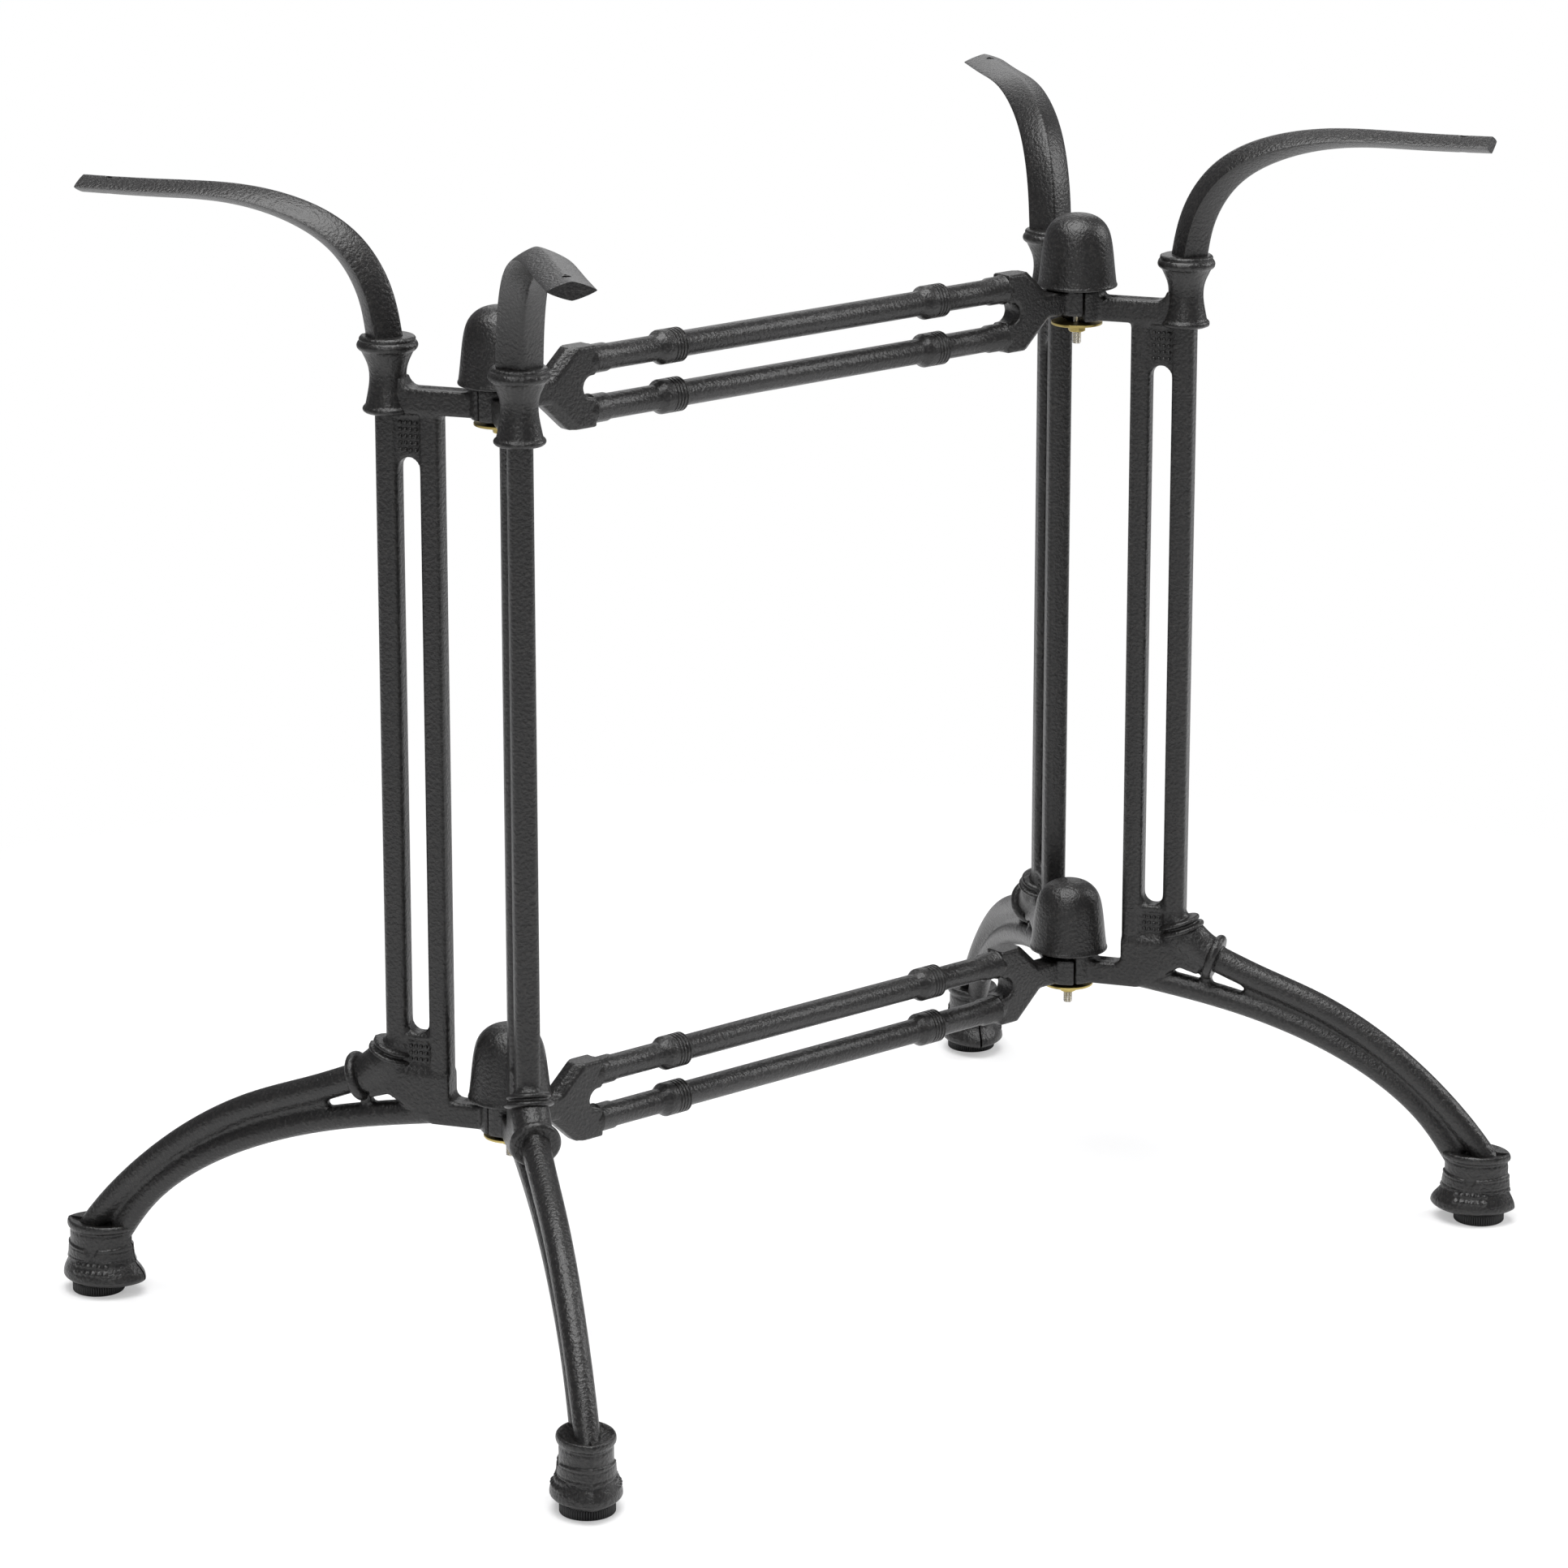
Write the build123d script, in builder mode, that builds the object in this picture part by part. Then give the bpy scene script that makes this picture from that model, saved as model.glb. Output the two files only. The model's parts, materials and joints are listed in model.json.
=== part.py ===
from build123d import *
from math import cos, radians, sin, tan
import os

# Bistro table base: four identical cast legs stand on two hub axes, joined by
# two cast stretchers. At each hub joint a domed cap nut, a stud, a washer and a
# nut draw two legs and one stretcher together. A screw-in glide levels each leg.
# Millimetres, +Z up, origin on the floor midway between the hub axes, with the
# stretchers along X. A leg is drawn with its hub axis on Z and runs out along X.

# overall frame
height = 720.0           # floor to the ridge of the arm tips
hub_span = 478.0         # distance between the two hub axes
splay = 60.0             # angle of each leg from the stretcher line
hub_drop = 125.0         # centre of the upper leg brackets below the arm ridge
hub_low = 146.2          # centre of the lower leg brackets

# hub ends that meet under the caps
hub_radius = 18.5
hub_rise = 13.2          # cap seat above the bracket centre
hub_slit = 0.8           # open slit between neighbouring hub ends
stud_bore = 3.6          # radius of the clearance hole round the stud
pad_radius = 9.5         # low pad under a hub end that the washer meets
pad_depth = 2.2
bracket_width = 16.5
bracket_height = 15.5
bracket_round = 1.6
pocket_width = 10.0      # shallow pocket along the top of each bracket
pocket_depth = 1.2
pocket_inset = 1.5       # rim left at each end of the pocket

# twin uprights
outer_upright = 72.8     # distance of the outer upright from the hub axis
inner_upright = 44.5
outer_depth = 14.6
inner_depth = 13.6
upright_width = 15.0
upright_round = 3.8
panel_width = 10.0       # recessed panel that closes each end of the slot
slot_drop = 35.0         # top of the slot below the upper bracket centre
slot_rise = 49.8         # foot of the slot above the lower bracket centre

# collar under the arm
ring_radius = 18.6
ring_height = 7.4        # rounded upper ring
ring_inset = 1.5         # edges of the upper ring inside its widest line
waist_radius = 11.3
waist_rise = 19.0        # narrowest line above the foot of the collar
throat_width = 3.2       # top of the hollow outside the waist
throat_depth = 3.0       # slanted underside of the upper ring
foot_ring_radius = 15.7
foot_ring_height = 4.2
foot_ring_inset = 1.0
ring_lip = 0.8           # flat lip over the upper ring and under the foot ring
step_height = 1.2        # small step between the hollow and the foot ring
collar_rise = 38.2       # top of the collar above the upper bracket centre

# arm
arm_width = 28.5
arm_root_depth = 24.0
arm_tip_depth = 10.4
arm_taper = 0.8          # more depth where the level stretch starts
arm_shift = 1.7          # arm's foot outward of the outer upright
arm_sink = 2.2           # arm's foot below the top of the collar
arm_reach = 270.0        # arm tip from the hub axis
arm_bend_reach = 175.0   # where the curve runs out into the level stretch
arm_side_round = 2.6
screw_inset = 18.0       # table screw from the arm tip
screw_hole = 2.75
screw_flat = 5.0         # radius of the small flat round the screw hole
screw_flat_depth = 0.6

# gusset, neck and rings at the head of the curved leg
gusset_rise = 27.8       # top of the gusset above the lower bracket centre
gusset_round = 4.0       # hollow corner between the gusset and the bracket
heel_run = 5.5           # underside of the lower bracket past the inner upright
belly_run = 5.7          # low corner of the gusset past the outer upright
belly_drop = 19.0        # and below the gusset's top
jaw_run = 9.5            # corner under the neck, inward of the knuckle
jaw_drop = 11.4
brow_run = 6.0           # corner inside the knuckle ring
brow_rise = 2.0
crest_run = 7.0          # outer corner of the gusset's top inside the neck
crest_back = 10.0
swoosh_radius = 14.6     # slanted double ring round the foot of the outer upright
swoosh_rise = 36.0
swoosh_shift = 4.6
swoosh_tilt = 20.0
swoosh_band = 5.4
swoosh_bead = 3.6
swoosh_step = 1.6        # bead inside the band
neck_radius = 11.8
neck_pinch = 1.2         # thinner where the neck leaves the upright
neck_swell = 0.6         # fuller at its middle and at the knuckle
neck_start = 9.0         # neck's head above the slanted ring
knuckle_radius = 15.4    # ring that the curved leg starts from
knuckle_shift = 27.7     # from the outer upright
knuckle_rise = 16.5
knuckle_tilt = 72.0
knuckle_width = 6.6
tube_radius = 8.6        # upper tube of the curved leg at its head
tube_end_radius = 7.5
low_tube_radius = 7.9    # lower tube at the bracket
low_tube_end_radius = 7.2
groove_width = 8.5       # web in the groove between the tubes
web_head = 0.09          # web's start along the upper tube
web_foot = 0.34          # and along the lower one

# boot and glide
boot_reach = 279.5
boot_top = 47.5
boot_bottom = 7.6
boot_length = 57.0
boot_width = 42.8
boot_waist_length = 41.4
boot_waist_width = 32.0
boot_rim_length = 47.5
boot_rim_width = 35.4
boot_rim_height = 8.6
# height from sole to rim, and how much of the flare is left there, both as shares
boot_profile = ((0.0, 1.0), (0.16, 0.79), (0.38, 0.42), (0.63, 0.15), (0.85, 0.0), (1.04, 0.07))
band_low = 22.4          # raised band round the boot, above its underside
band_height = 4.6
band_stand = 1.2         # band beyond the boot's side
heel_tube_in = 16.0      # lower tube ends this far inside the middle of the boot
toe_tube_out = 7.5       # and the upper one this far outside
sole_height = 3.4
sole_inset = 3.0
glide_shift = 4.5        # glide axis outward of the middle of the boot
glide_radius = 16.6
glide_gap = 0.3          # between the fully screwed-in glide and the boot
glide_flutes = 48
flute_radius = 0.55
stem_radius = 4.0        # M8
stem_length = 26.0
stem_clearance = 0.05
stem_seat = 2.4          # stem's foot above the underside of the glide
stem_room = 1.0          # room above the screwed-in stem
glide_chamfer = 0.8      # round the underside of the glide

# stretchers
bar_radius = 8.0
bar_pitch = 30.8         # vertical distance between the two bars
bar_drop = 1.0           # bars below the middle of the tang
stem_height = 15.0
tang_height = 17.0       # height of the stretcher's hub end
fork_start = 29.0        # fork from the hub axis
fork_shoulder = 48.5
fork_end = 68.0
fork_half_height = 25.2
fork_bevel = 5.0
notch_radius = 6.9
notch_depth = 10.2       # from the fork's end to the bottom of the notch
bar_sink = 4.0           # bar ends inside the fork
bar_boss_radius = 8.9    # thick end of each bar beside the fork
bar_boss_length = 14.0
bar_boss_taper = 2.5
sleeve_reach = 129.8     # middle of each sleeve from the hub axis
sleeve_length = 23.0
sleeve_radius = 10.8
sleeve_cone = 5.0
sleeve_lip = 2.6         # short slope at the sleeve's ringed end
ring_grooves = 4         # turned grooves beside that slope
ring_pitch = 2.5
ring_groove_width = 1.0
ring_groove_depth = 0.5

# caps and fasteners
cap_radius = 25.4
cap_height = 46.5
cap_wall = 3.2
# outline of the dome as shares of its radius and of its height
dome_shares = ((0.93, 0.4), (0.87, 0.64), (0.72, 0.86), (0.45, 0.97))
dome_batter = 0.12       # inward lean of the side at the rim
cap_lip = 0.6            # rolled lip beyond the rim
cap_lip_height = 2.4
cap_boss_radius = 11.0
thread_radius = 3.0      # M6
thread_clearance = 0.05
stud_grip = 24.0         # length of the stud inside the cap
stud_tail = 8.0          # length of the stud below the nut
washer_radius = 16.7
washer_thickness = 1.6
washer_bore = 3.3
nut_across_flats = 10.0
nut_height = 5.0
nut_chamfer = 0.6

half_span = hub_span / 2
hub_high = height - hub_drop
bracket_half = bracket_height / 2
bracket_start = bracket_width / 2 / tan(radians(splay)) + 2 * hub_slit
collar_foot = hub_high - bracket_half
collar_top = hub_high + collar_rise
gusset_top = hub_low + gusset_rise
inner_face = inner_upright - inner_depth / 2
slot_inner = inner_upright + inner_depth / 2
slot_outer = outer_upright - outer_depth / 2
slot_middle = (slot_inner + slot_outer) / 2
slot_radius = (slot_outer - slot_inner) / 2
slot_high = hub_high - slot_drop
slot_low = hub_low + slot_rise
arm_bend_depth = arm_tip_depth + arm_taper
screw_reach = arm_reach - screw_inset
swoosh = (outer_upright + swoosh_shift, hub_low + swoosh_rise)
knuckle = (outer_upright + knuckle_shift, hub_low + knuckle_rise)
glide_reach = boot_reach + glide_shift
glide_height = boot_bottom - glide_gap
washer_top = -bracket_half - pad_depth
nut_top = washer_top - washer_thickness
stud_low = nut_top - nut_height - stud_tail


# Planes and outlines shared by the pieces

def lengthways(level=0.0):
    """Upright plane along X at a level, with its x axis along X and y up."""
    return Plane(origin=(0, 0, level), x_dir=(1, 0, 0), z_dir=(0, -1, 0))


def across(point, tangent):
    """Plane square to a path in the leg's middle plane, its x axis to the side."""
    return Plane(origin=point, x_dir=(0, 1, 0), z_dir=tangent)


def tilted(spot, tilt):
    """Plane of a ring: its normal leans outward from straight down by the tilt."""
    lean = radians(tilt)
    return Plane(origin=(spot[0], 0, spot[1]), x_dir=(0, 1, 0), z_dir=(sin(lean), 0, -cos(lean)))


def rim_profile(plane, low, high, radius):
    """Half section of a ring on a plane, between two heights along its normal, rim rounded."""
    side = Plane(origin=plane.origin, x_dir=plane.x_dir, z_dir=-plane.y_dir)
    with BuildSketch(side) as profile:
        with Locations((radius / 2, (low + high) / 2)):
            Rectangle(radius, high - low)
        fillet(profile.vertices().group_by(Axis.X)[-1], 0.4 * (high - low))
    return profile.sketch


def between(start, end, shares):
    """Points at given shares of the way out and of the way up or down."""
    return [
        (start[0] + u * (end[0] - start[0]), 0, start[1] + v * (end[1] - start[1]))
        for u, v in shares
    ]


def round_sections(line, count, start_radius, end_radius):
    """Circles square to a line, evenly spaced, that taper from start to end."""
    sections = []
    for step in range(count + 1):
        share = step / count
        with BuildSketch(across(line @ share, line % share)) as section:
            Circle(start_radius + (end_radius - start_radius) * share)
        sections.append(section.sketch)
    return sections


def arm_section(plane, depth):
    """Lozenge with soft side corners and firm ridges above and below."""
    with BuildSketch(plane) as section:
        with BuildLine():
            Polyline(
                (arm_width / 2, 0),
                (0, depth / 2),
                (-arm_width / 2, 0),
                (0, -depth / 2),
                close=True,
            )
        make_face()
        by_side = section.vertices().group_by(Axis.X)
        fillet(by_side[0] + by_side[-1], arm_side_round)
    return section.sketch


def leaf(level, length, width):
    """Leaf-shaped plan of the boot: two arcs that crease at heel and toe."""
    with BuildSketch(Plane(origin=(boot_reach, 0, level))) as plan:
        with BuildLine():
            ThreePointArc((-length / 2, 0), (0, width / 2), (length / 2, 0))
            ThreePointArc((length / 2, 0), (0, -width / 2), (-length / 2, 0))
        make_face()
    return plan.sketch


def hub_sector(axis_x, level, radius, direction):
    """Third of a disc round a hub axis, pierced for the stud, clear of its neighbours."""
    apex = hub_slit / 2 / sin(radians(splay))
    reach = 2 * radius
    with BuildSketch(Plane(origin=(axis_x, 0, level))) as sector:
        Circle(radius)
        with BuildLine():
            Polyline(
                (direction * apex, 0),
                (direction * (apex + reach * cos(radians(splay))), reach * sin(radians(splay))),
                (direction * (apex + 2 * reach), reach * sin(radians(splay))),
                (direction * (apex + 2 * reach), -reach * sin(radians(splay))),
                (direction * (apex + reach * cos(radians(splay))), -reach * sin(radians(splay))),
                close=True,
            )
        make_face(mode=Mode.INTERSECT)
        Circle(stud_bore, mode=Mode.SUBTRACT)
    return sector.sketch


def dome(inset):
    """Half profile of the cap: steep bulging side that turns over into a flat crown."""
    radius = cap_radius - inset
    crown = cap_height - inset
    with BuildSketch(lengthways()) as profile:
        with BuildLine():
            Spline(
                (radius, 0),
                *[(out * radius, up * crown) for out, up in dome_shares],
                (0, crown),
                tangents=[(-dome_batter, 1), (-1, 0)],
            )
            Polyline((0, crown), (0, 0), (radius, 0))
        make_face()
    return profile.sketch


# Curved lines of the leg, in its middle plane
arm_root = (outer_upright + arm_shift, collar_top - arm_sink)
arm_bend = (arm_bend_reach, height - arm_bend_depth / 2)
with BuildLine() as arm_curve:
    Spline(
        (arm_root[0], 0, arm_root[1]),
        *between(arm_root, arm_bend, [(0.244, 0.674), (0.579, 0.899)]),
        (arm_bend[0], 0, arm_bend[1]),
        tangents=[(0.2, 0, 0.98), (1, 0, 0)],
    )

upper_end = (boot_reach + toe_tube_out, boot_top - boot_rim_height / 2)
with BuildLine() as upper_curve:
    Spline(
        (knuckle[0], 0, knuckle[1]),
        *between(knuckle, upper_end, [(0.158, 0.098), (0.373, 0.218), (0.587, 0.395), (0.802, 0.656)]),
        (upper_end[0], 0, upper_end[1]),
    )

lower_start = (inner_upright, hub_low)
lower_end = (boot_reach - heel_tube_in, boot_top - boot_rim_height / 2)
with BuildLine() as lower_curve:
    Spline(
        (lower_start[0], 0, lower_start[1]),
        *between(lower_start, lower_end, [(0.157, 0.051), (0.341, 0.128), (0.571, 0.281), (0.802, 0.536)]),
        (lower_end[0], 0, lower_end[1]),
    )

with BuildLine() as neck_curve:
    Spline(
        (outer_upright, 0, swoosh[1] + neck_start),
        (swoosh[0], 0, swoosh[1]),
        (knuckle[0], 0, knuckle[1]),
        tangents=[(0, 0, -1), (1, 0, -0.3)],
    )

# Arm: the lozenge carried along the bend, then straight out to the square-cut tip
arm_steps = 7
with BuildPart() as arm:
    bend_sections = []
    for step in range(arm_steps + 1):
        share = step / arm_steps
        depth = arm_root_depth + (arm_bend_depth - arm_root_depth) * share
        plane = across(arm_curve.line @ share, arm_curve.line % share)
        bend_sections.append(arm_section(plane, depth))
    loft(bend_sections)
    level_start = arm_section(across((arm_bend[0], 0, arm_bend[1]), (1, 0, 0)), arm_bend_depth)
    level_end = arm_section(across((arm_reach, 0, height - arm_tip_depth / 2), (1, 0, 0)), arm_tip_depth)
    loft([level_start, level_end])
    with BuildSketch(Plane.XY.offset(height - screw_flat_depth)):
        with Locations((screw_reach, 0)):
            Circle(screw_flat)
    extrude(amount=2 * screw_flat_depth, mode=Mode.SUBTRACT)
    with BuildSketch(Plane.XY.offset(height)):
        with Locations((screw_reach, 0)):
            Circle(screw_hole)
    extrude(amount=-1.5 * arm_tip_depth, mode=Mode.SUBTRACT)

# Collar: turned shape between the outer upright and the arm
with BuildPart() as collar:
    with BuildSketch(Plane(origin=(outer_upright, 0, 0), x_dir=(1, 0, 0), z_dir=(0, -1, 0))):
        with BuildLine():
            top_edge = (ring_radius - ring_inset, collar_top - ring_lip)
            low_edge = (ring_radius - ring_inset, top_edge[1] - ring_height)
            throat = (waist_radius + throat_width, low_edge[1] - throat_depth)
            foot_base = (foot_ring_radius - foot_ring_inset, collar_foot - ring_lip)
            foot_edge = (foot_base[0], foot_base[1] + foot_ring_height)
            step_edge = (foot_edge[0], foot_edge[1] + step_height)
            Polyline((0, foot_base[1]), (0, collar_top), (throat[0], collar_top), top_edge)
            ThreePointArc(top_edge, (ring_radius, top_edge[1] - ring_height / 2), low_edge)
            Line(low_edge, throat)
            ThreePointArc(throat, (waist_radius, collar_foot + waist_rise), step_edge)
            Line(step_edge, foot_edge)
            ThreePointArc(foot_edge, (foot_ring_radius, foot_edge[1] - foot_ring_height / 2), foot_base)
            Line(foot_base, (0, foot_base[1]))
        make_face()
    revolve(axis=Axis((outer_upright, 0, 0), (0, 0, 1)))

# Upper bracket, from the hub to the collar
with BuildPart() as upper_bracket:
    with BuildSketch(lengthways(hub_high)):
        with Locations(((bracket_start + outer_upright) / 2, 0)):
            Rectangle(outer_upright - bracket_start, bracket_height)
    extrude(amount=bracket_width / 2, both=True)
    fillet(upper_bracket.edges().filter_by(Axis.X), bracket_round)
    pocket_end = outer_upright - foot_ring_radius
    with BuildSketch(Plane.XY.offset(hub_high + bracket_half)):
        with Locations(((hub_radius + pocket_end) / 2, 0)):
            SlotOverall(pocket_end - hub_radius - 2 * pocket_inset, pocket_width)
    extrude(amount=-pocket_depth, mode=Mode.SUBTRACT)

# Lower bracket and gusset in one plate
with BuildPart() as gusset:
    with BuildSketch(lengthways()) as gusset_outline:
        with BuildLine():
            Polyline(
                (bracket_start, hub_low - bracket_half),
                (inner_upright + heel_run, hub_low - bracket_half),
                (outer_upright + belly_run, gusset_top - belly_drop),
                (knuckle[0] - jaw_run, knuckle[1] - jaw_drop),
                (knuckle[0] - brow_run, knuckle[1] + brow_rise),
                (outer_upright + crest_run, gusset_top + brow_rise),
                (outer_upright - crest_back, gusset_top),
                (inner_face, gusset_top),
                (inner_face, hub_low + bracket_half),
                (bracket_start, hub_low + bracket_half),
                close=True,
            )
        make_face()
        corner = (inner_face, hub_low + bracket_half)
        fillet(gusset_outline.vertices().sort_by_distance(corner)[0], gusset_round)
    extrude(amount=bracket_width / 2, both=True)
    side_faces = gusset.faces().sort_by(Axis.Y)
    chamfer(side_faces[0].edges() + side_faces[-1].edges(), bracket_round)
    with BuildSketch(Plane.XY.offset(hub_low + bracket_half)):
        with Locations(((hub_radius + inner_face - gusset_round) / 2, 0)):
            SlotOverall(inner_face - gusset_round - hub_radius - pocket_inset, pocket_width)
    extrude(amount=-pocket_depth, mode=Mode.SUBTRACT)

# Neck that swells out of the outer upright and turns into the curved leg
neck_sections = (
    (0.0, upright_width / 2),
    (0.22, neck_radius - neck_pinch),
    (0.5, neck_radius + neck_swell),
    (0.78, neck_radius),
    (1.0, neck_radius + neck_swell),
)
with BuildPart() as neck:
    for share, radius in neck_sections:
        with BuildSketch(across(neck_curve.line @ share, neck_curve.line % share)):
            Circle(radius)
    loft()

# Ring that the curved leg starts from
with BuildPart() as knuckle_ring:
    knuckle_plane = tilted(knuckle, knuckle_tilt)
    rim = rim_profile(knuckle_plane, -knuckle_width / 2, knuckle_width / 2, knuckle_radius)
    revolve(rim, axis=Axis(knuckle_plane.origin, knuckle_plane.z_dir))

# Slanted double ring: a broad band with a smaller bead above it
with BuildPart() as swoosh_ring:
    swoosh_plane = tilted(swoosh, swoosh_tilt)
    swoosh_axis = Axis(swoosh_plane.origin, swoosh_plane.z_dir)
    band_top = -swoosh_band / 3
    bead_radius = swoosh_radius - swoosh_step
    revolve(rim_profile(swoosh_plane, band_top, band_top + swoosh_band, swoosh_radius), axis=swoosh_axis)
    revolve(rim_profile(swoosh_plane, band_top - swoosh_bead, band_top, bead_radius), axis=swoosh_axis)

# Boot: leaf-shaped plan, flared foot, raised band, waist and a rolled rim
flare_height = boot_top - boot_rim_height - boot_bottom - sole_height
with BuildPart() as boot:
    foot = boot_bottom + sole_height
    boot_plans = []
    for rise, flare in boot_profile:
        length = boot_waist_length + flare * (boot_length - boot_waist_length)
        width = boot_waist_width + flare * (boot_width - boot_waist_width)
        boot_plans.append(leaf(foot + rise * flare_height, length, width))
    loft(boot_plans)
    sole = leaf(boot_bottom, boot_length - 2 * sole_inset, boot_width - 2 * sole_inset)
    loft([sole, leaf(foot, boot_length, boot_width)], ruled=True)

with BuildPart() as boot_band:
    band_plan = leaf(
        boot_bottom + band_low,
        boot_waist_length + 2 * band_stand,
        boot_waist_width + 2 * band_stand,
    )
    extrude(band_plan, amount=band_height)
    band_ends = boot_band.faces().filter_by(Axis.Z)
    fillet(band_ends.edges(), 0.3 * band_height)

with BuildPart() as boot_rim:
    extrude(leaf(boot_top - boot_rim_height, boot_rim_length, boot_rim_width), amount=boot_rim_height)
    rim_ends = boot_rim.faces().filter_by(Axis.Z)
    fillet(rim_ends.edges(), 0.4 * boot_rim_height)

# Whole leg casting
with BuildPart() as leg:
    with BuildSketch(Plane.XY.offset(gusset_top - bracket_half)):
        with Locations((outer_upright, 0)):
            RectangleRounded(outer_depth, upright_width, upright_round)
        with Locations((inner_upright, 0)):
            RectangleRounded(inner_depth, upright_width, upright_round)
    extrude(amount=hub_high - gusset_top + bracket_half)
    with BuildSketch(lengthways()):
        with Locations((slot_middle, (hub_high + gusset_top) / 2)):
            Rectangle(outer_upright - inner_upright, hub_high - gusset_top + 2)
        with Locations((slot_middle, (slot_high + slot_low) / 2)):
            SlotOverall(slot_high - slot_low, 2 * slot_radius, rotation=90, mode=Mode.SUBTRACT)
    extrude(amount=panel_width / 2, both=True)
    add(upper_bracket.part)
    add(gusset.part)
    add(collar.part)
    add(arm.part)
    add(neck.part)
    add(swoosh_ring.part)
    loft(round_sections(upper_curve.line, 6, tube_radius, tube_end_radius))
    loft(round_sections(lower_curve.line, 6, low_tube_radius, low_tube_end_radius))
    add(knuckle_ring.part)
    with BuildSketch(lengthways()):
        with BuildLine():
            top_points = [upper_curve.line @ (web_head + (1 - web_head) * step / 5) for step in range(6)]
            low_points = [lower_curve.line @ (1 - (1 - web_foot) * step / 5) for step in range(6)]
            Polyline(*[(point.X, point.Z) for point in top_points + low_points], close=True)
        make_face()
    extrude(amount=groove_width / 2, both=True)
    add(boot.part)
    add(boot_band.part)
    add(boot_rim.part)
    for hub_level in (hub_high, hub_low):
        extrude(hub_sector(0, hub_level - bracket_half, hub_radius, 1), amount=bracket_half + hub_rise)
        extrude(hub_sector(0, hub_level + washer_top, pad_radius, 1), amount=pad_depth + 1)
    with BuildSketch(Plane.XY):
        with Locations((glide_reach, 0)):
            Circle(stem_radius + stem_clearance)
    extrude(amount=stem_seat + stem_length + stem_room, mode=Mode.SUBTRACT)


# Stretcher casting: two bars with sleeves between two forks, and a hub end at each side

def stretcher_casting(pad_height):
    """Stretcher with its tang middle on Z = 0; the pad reaches down to the washer."""
    with BuildPart() as stretcher:
        with BuildSketch(lengthways()):
            for end in (-1, 1):
                hub = end * half_span
                with BuildLine():
                    Polyline(
                        (hub - end * fork_start, -stem_height / 2),
                        (hub - end * fork_shoulder, -fork_half_height - bar_drop),
                        (hub - end * fork_end, -fork_half_height - bar_drop),
                        (hub - end * fork_end, fork_half_height - bar_drop),
                        (hub - end * fork_shoulder, fork_half_height - bar_drop),
                        (hub - end * fork_start, stem_height / 2),
                        close=True,
                    )
                make_face()
            with Locations((half_span - fork_end, -bar_drop), (fork_end - half_span, -bar_drop)):
                SlotOverall(2 * notch_depth, 2 * notch_radius, mode=Mode.SUBTRACT)
        extrude(amount=bracket_width / 2, both=True)
        slanted = stretcher.edges().filter_by(
            lambda edge: abs(edge.center().Y) > bracket_width / 2 - 0.1
            and half_span - fork_shoulder < abs(edge.center().X) < half_span - fork_start - 1
        )
        chamfer(slanted, fork_bevel)
        for end in (-1, 1):
            stem_plane = Plane(
                origin=(end * (half_span - fork_shoulder), 0, 0),
                x_dir=(0, 1, 0),
                z_dir=(end, 0, 0),
            )
            with BuildSketch(stem_plane) as stem:
                Rectangle(bracket_width, stem_height)
                fillet(stem.vertices(), bracket_round)
            extrude(amount=fork_shoulder - bracket_start)
        for bar_level in (bar_pitch / 2 - bar_drop, -bar_pitch / 2 - bar_drop):
            with BuildSketch(Plane(origin=(0, 0, bar_level), x_dir=(0, 1, 0), z_dir=(1, 0, 0))):
                Circle(bar_radius)
            extrude(amount=half_span - fork_end + bar_sink, both=True)
            for end in (-1, 1):
                boss_start = end * (half_span - fork_end)
                boss_end = boss_start - end * bar_boss_length
                with BuildSketch(lengthways(bar_level)):
                    with BuildLine():
                        Polyline(
                            (boss_start, 0),
                            (boss_start, bar_boss_radius),
                            (boss_end + end * bar_boss_taper, bar_boss_radius),
                            (boss_end, bar_radius),
                            (boss_end, 0),
                            close=True,
                        )
                    make_face()
                revolve(axis=Axis((0, 0, bar_level), (1, 0, 0)))
                left = end * (half_span - sleeve_reach) - sleeve_length / 2
                right = left + sleeve_length
                grooves = []
                for count in range(ring_grooves):
                    middle = right - sleeve_lip - (ring_grooves - count - 0.5) * ring_pitch
                    grooves += [
                        (middle - ring_groove_width / 2, sleeve_radius),
                        (middle, sleeve_radius - ring_groove_depth),
                        (middle + ring_groove_width / 2, sleeve_radius),
                    ]
                with BuildSketch(lengthways(bar_level)):
                    with BuildLine():
                        Polyline(
                            (left, 0),
                            (left, bar_radius),
                            (left + sleeve_cone, sleeve_radius),
                            *grooves,
                            (right - sleeve_lip, sleeve_radius),
                            (right, bar_radius),
                            (right, 0),
                            close=True,
                        )
                    make_face()
                revolve(axis=Axis((0, 0, bar_level), (1, 0, 0)))
        for end in (-1, 1):
            tang = hub_sector(end * half_span, -tang_height / 2, hub_radius, -end)
            extrude(tang, amount=tang_height)
            if pad_height > 0:
                pad = hub_sector(end * half_span, -tang_height / 2 - pad_height, pad_radius, -end)
                extrude(pad, amount=pad_height + 1)
            with BuildSketch(Plane(origin=(end * half_span, 0, -tang_height))):
                Circle(stud_bore)
            extrude(amount=2 * tang_height, mode=Mode.SUBTRACT)
    return stretcher


# Cap nut: hollow dome with a threaded boss that reaches down to the seat
with BuildPart() as cap:
    with BuildSketch(Plane.XY):
        Circle(cap_radius + cap_lip)
    extrude(amount=cap_lip_height)
    fillet(cap.edges(), 0.4 * cap_lip_height)
    revolve(dome(0), axis=Axis.Z)
    revolve(dome(cap_wall), axis=Axis.Z, mode=Mode.SUBTRACT)
    with BuildSketch(Plane.XY):
        Circle(cap_boss_radius)
    extrude(amount=cap_height - cap_wall - 1)
    with BuildSketch(Plane.XY):
        Circle(thread_radius + thread_clearance)
    extrude(amount=stud_grip + 2, mode=Mode.SUBTRACT)

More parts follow.
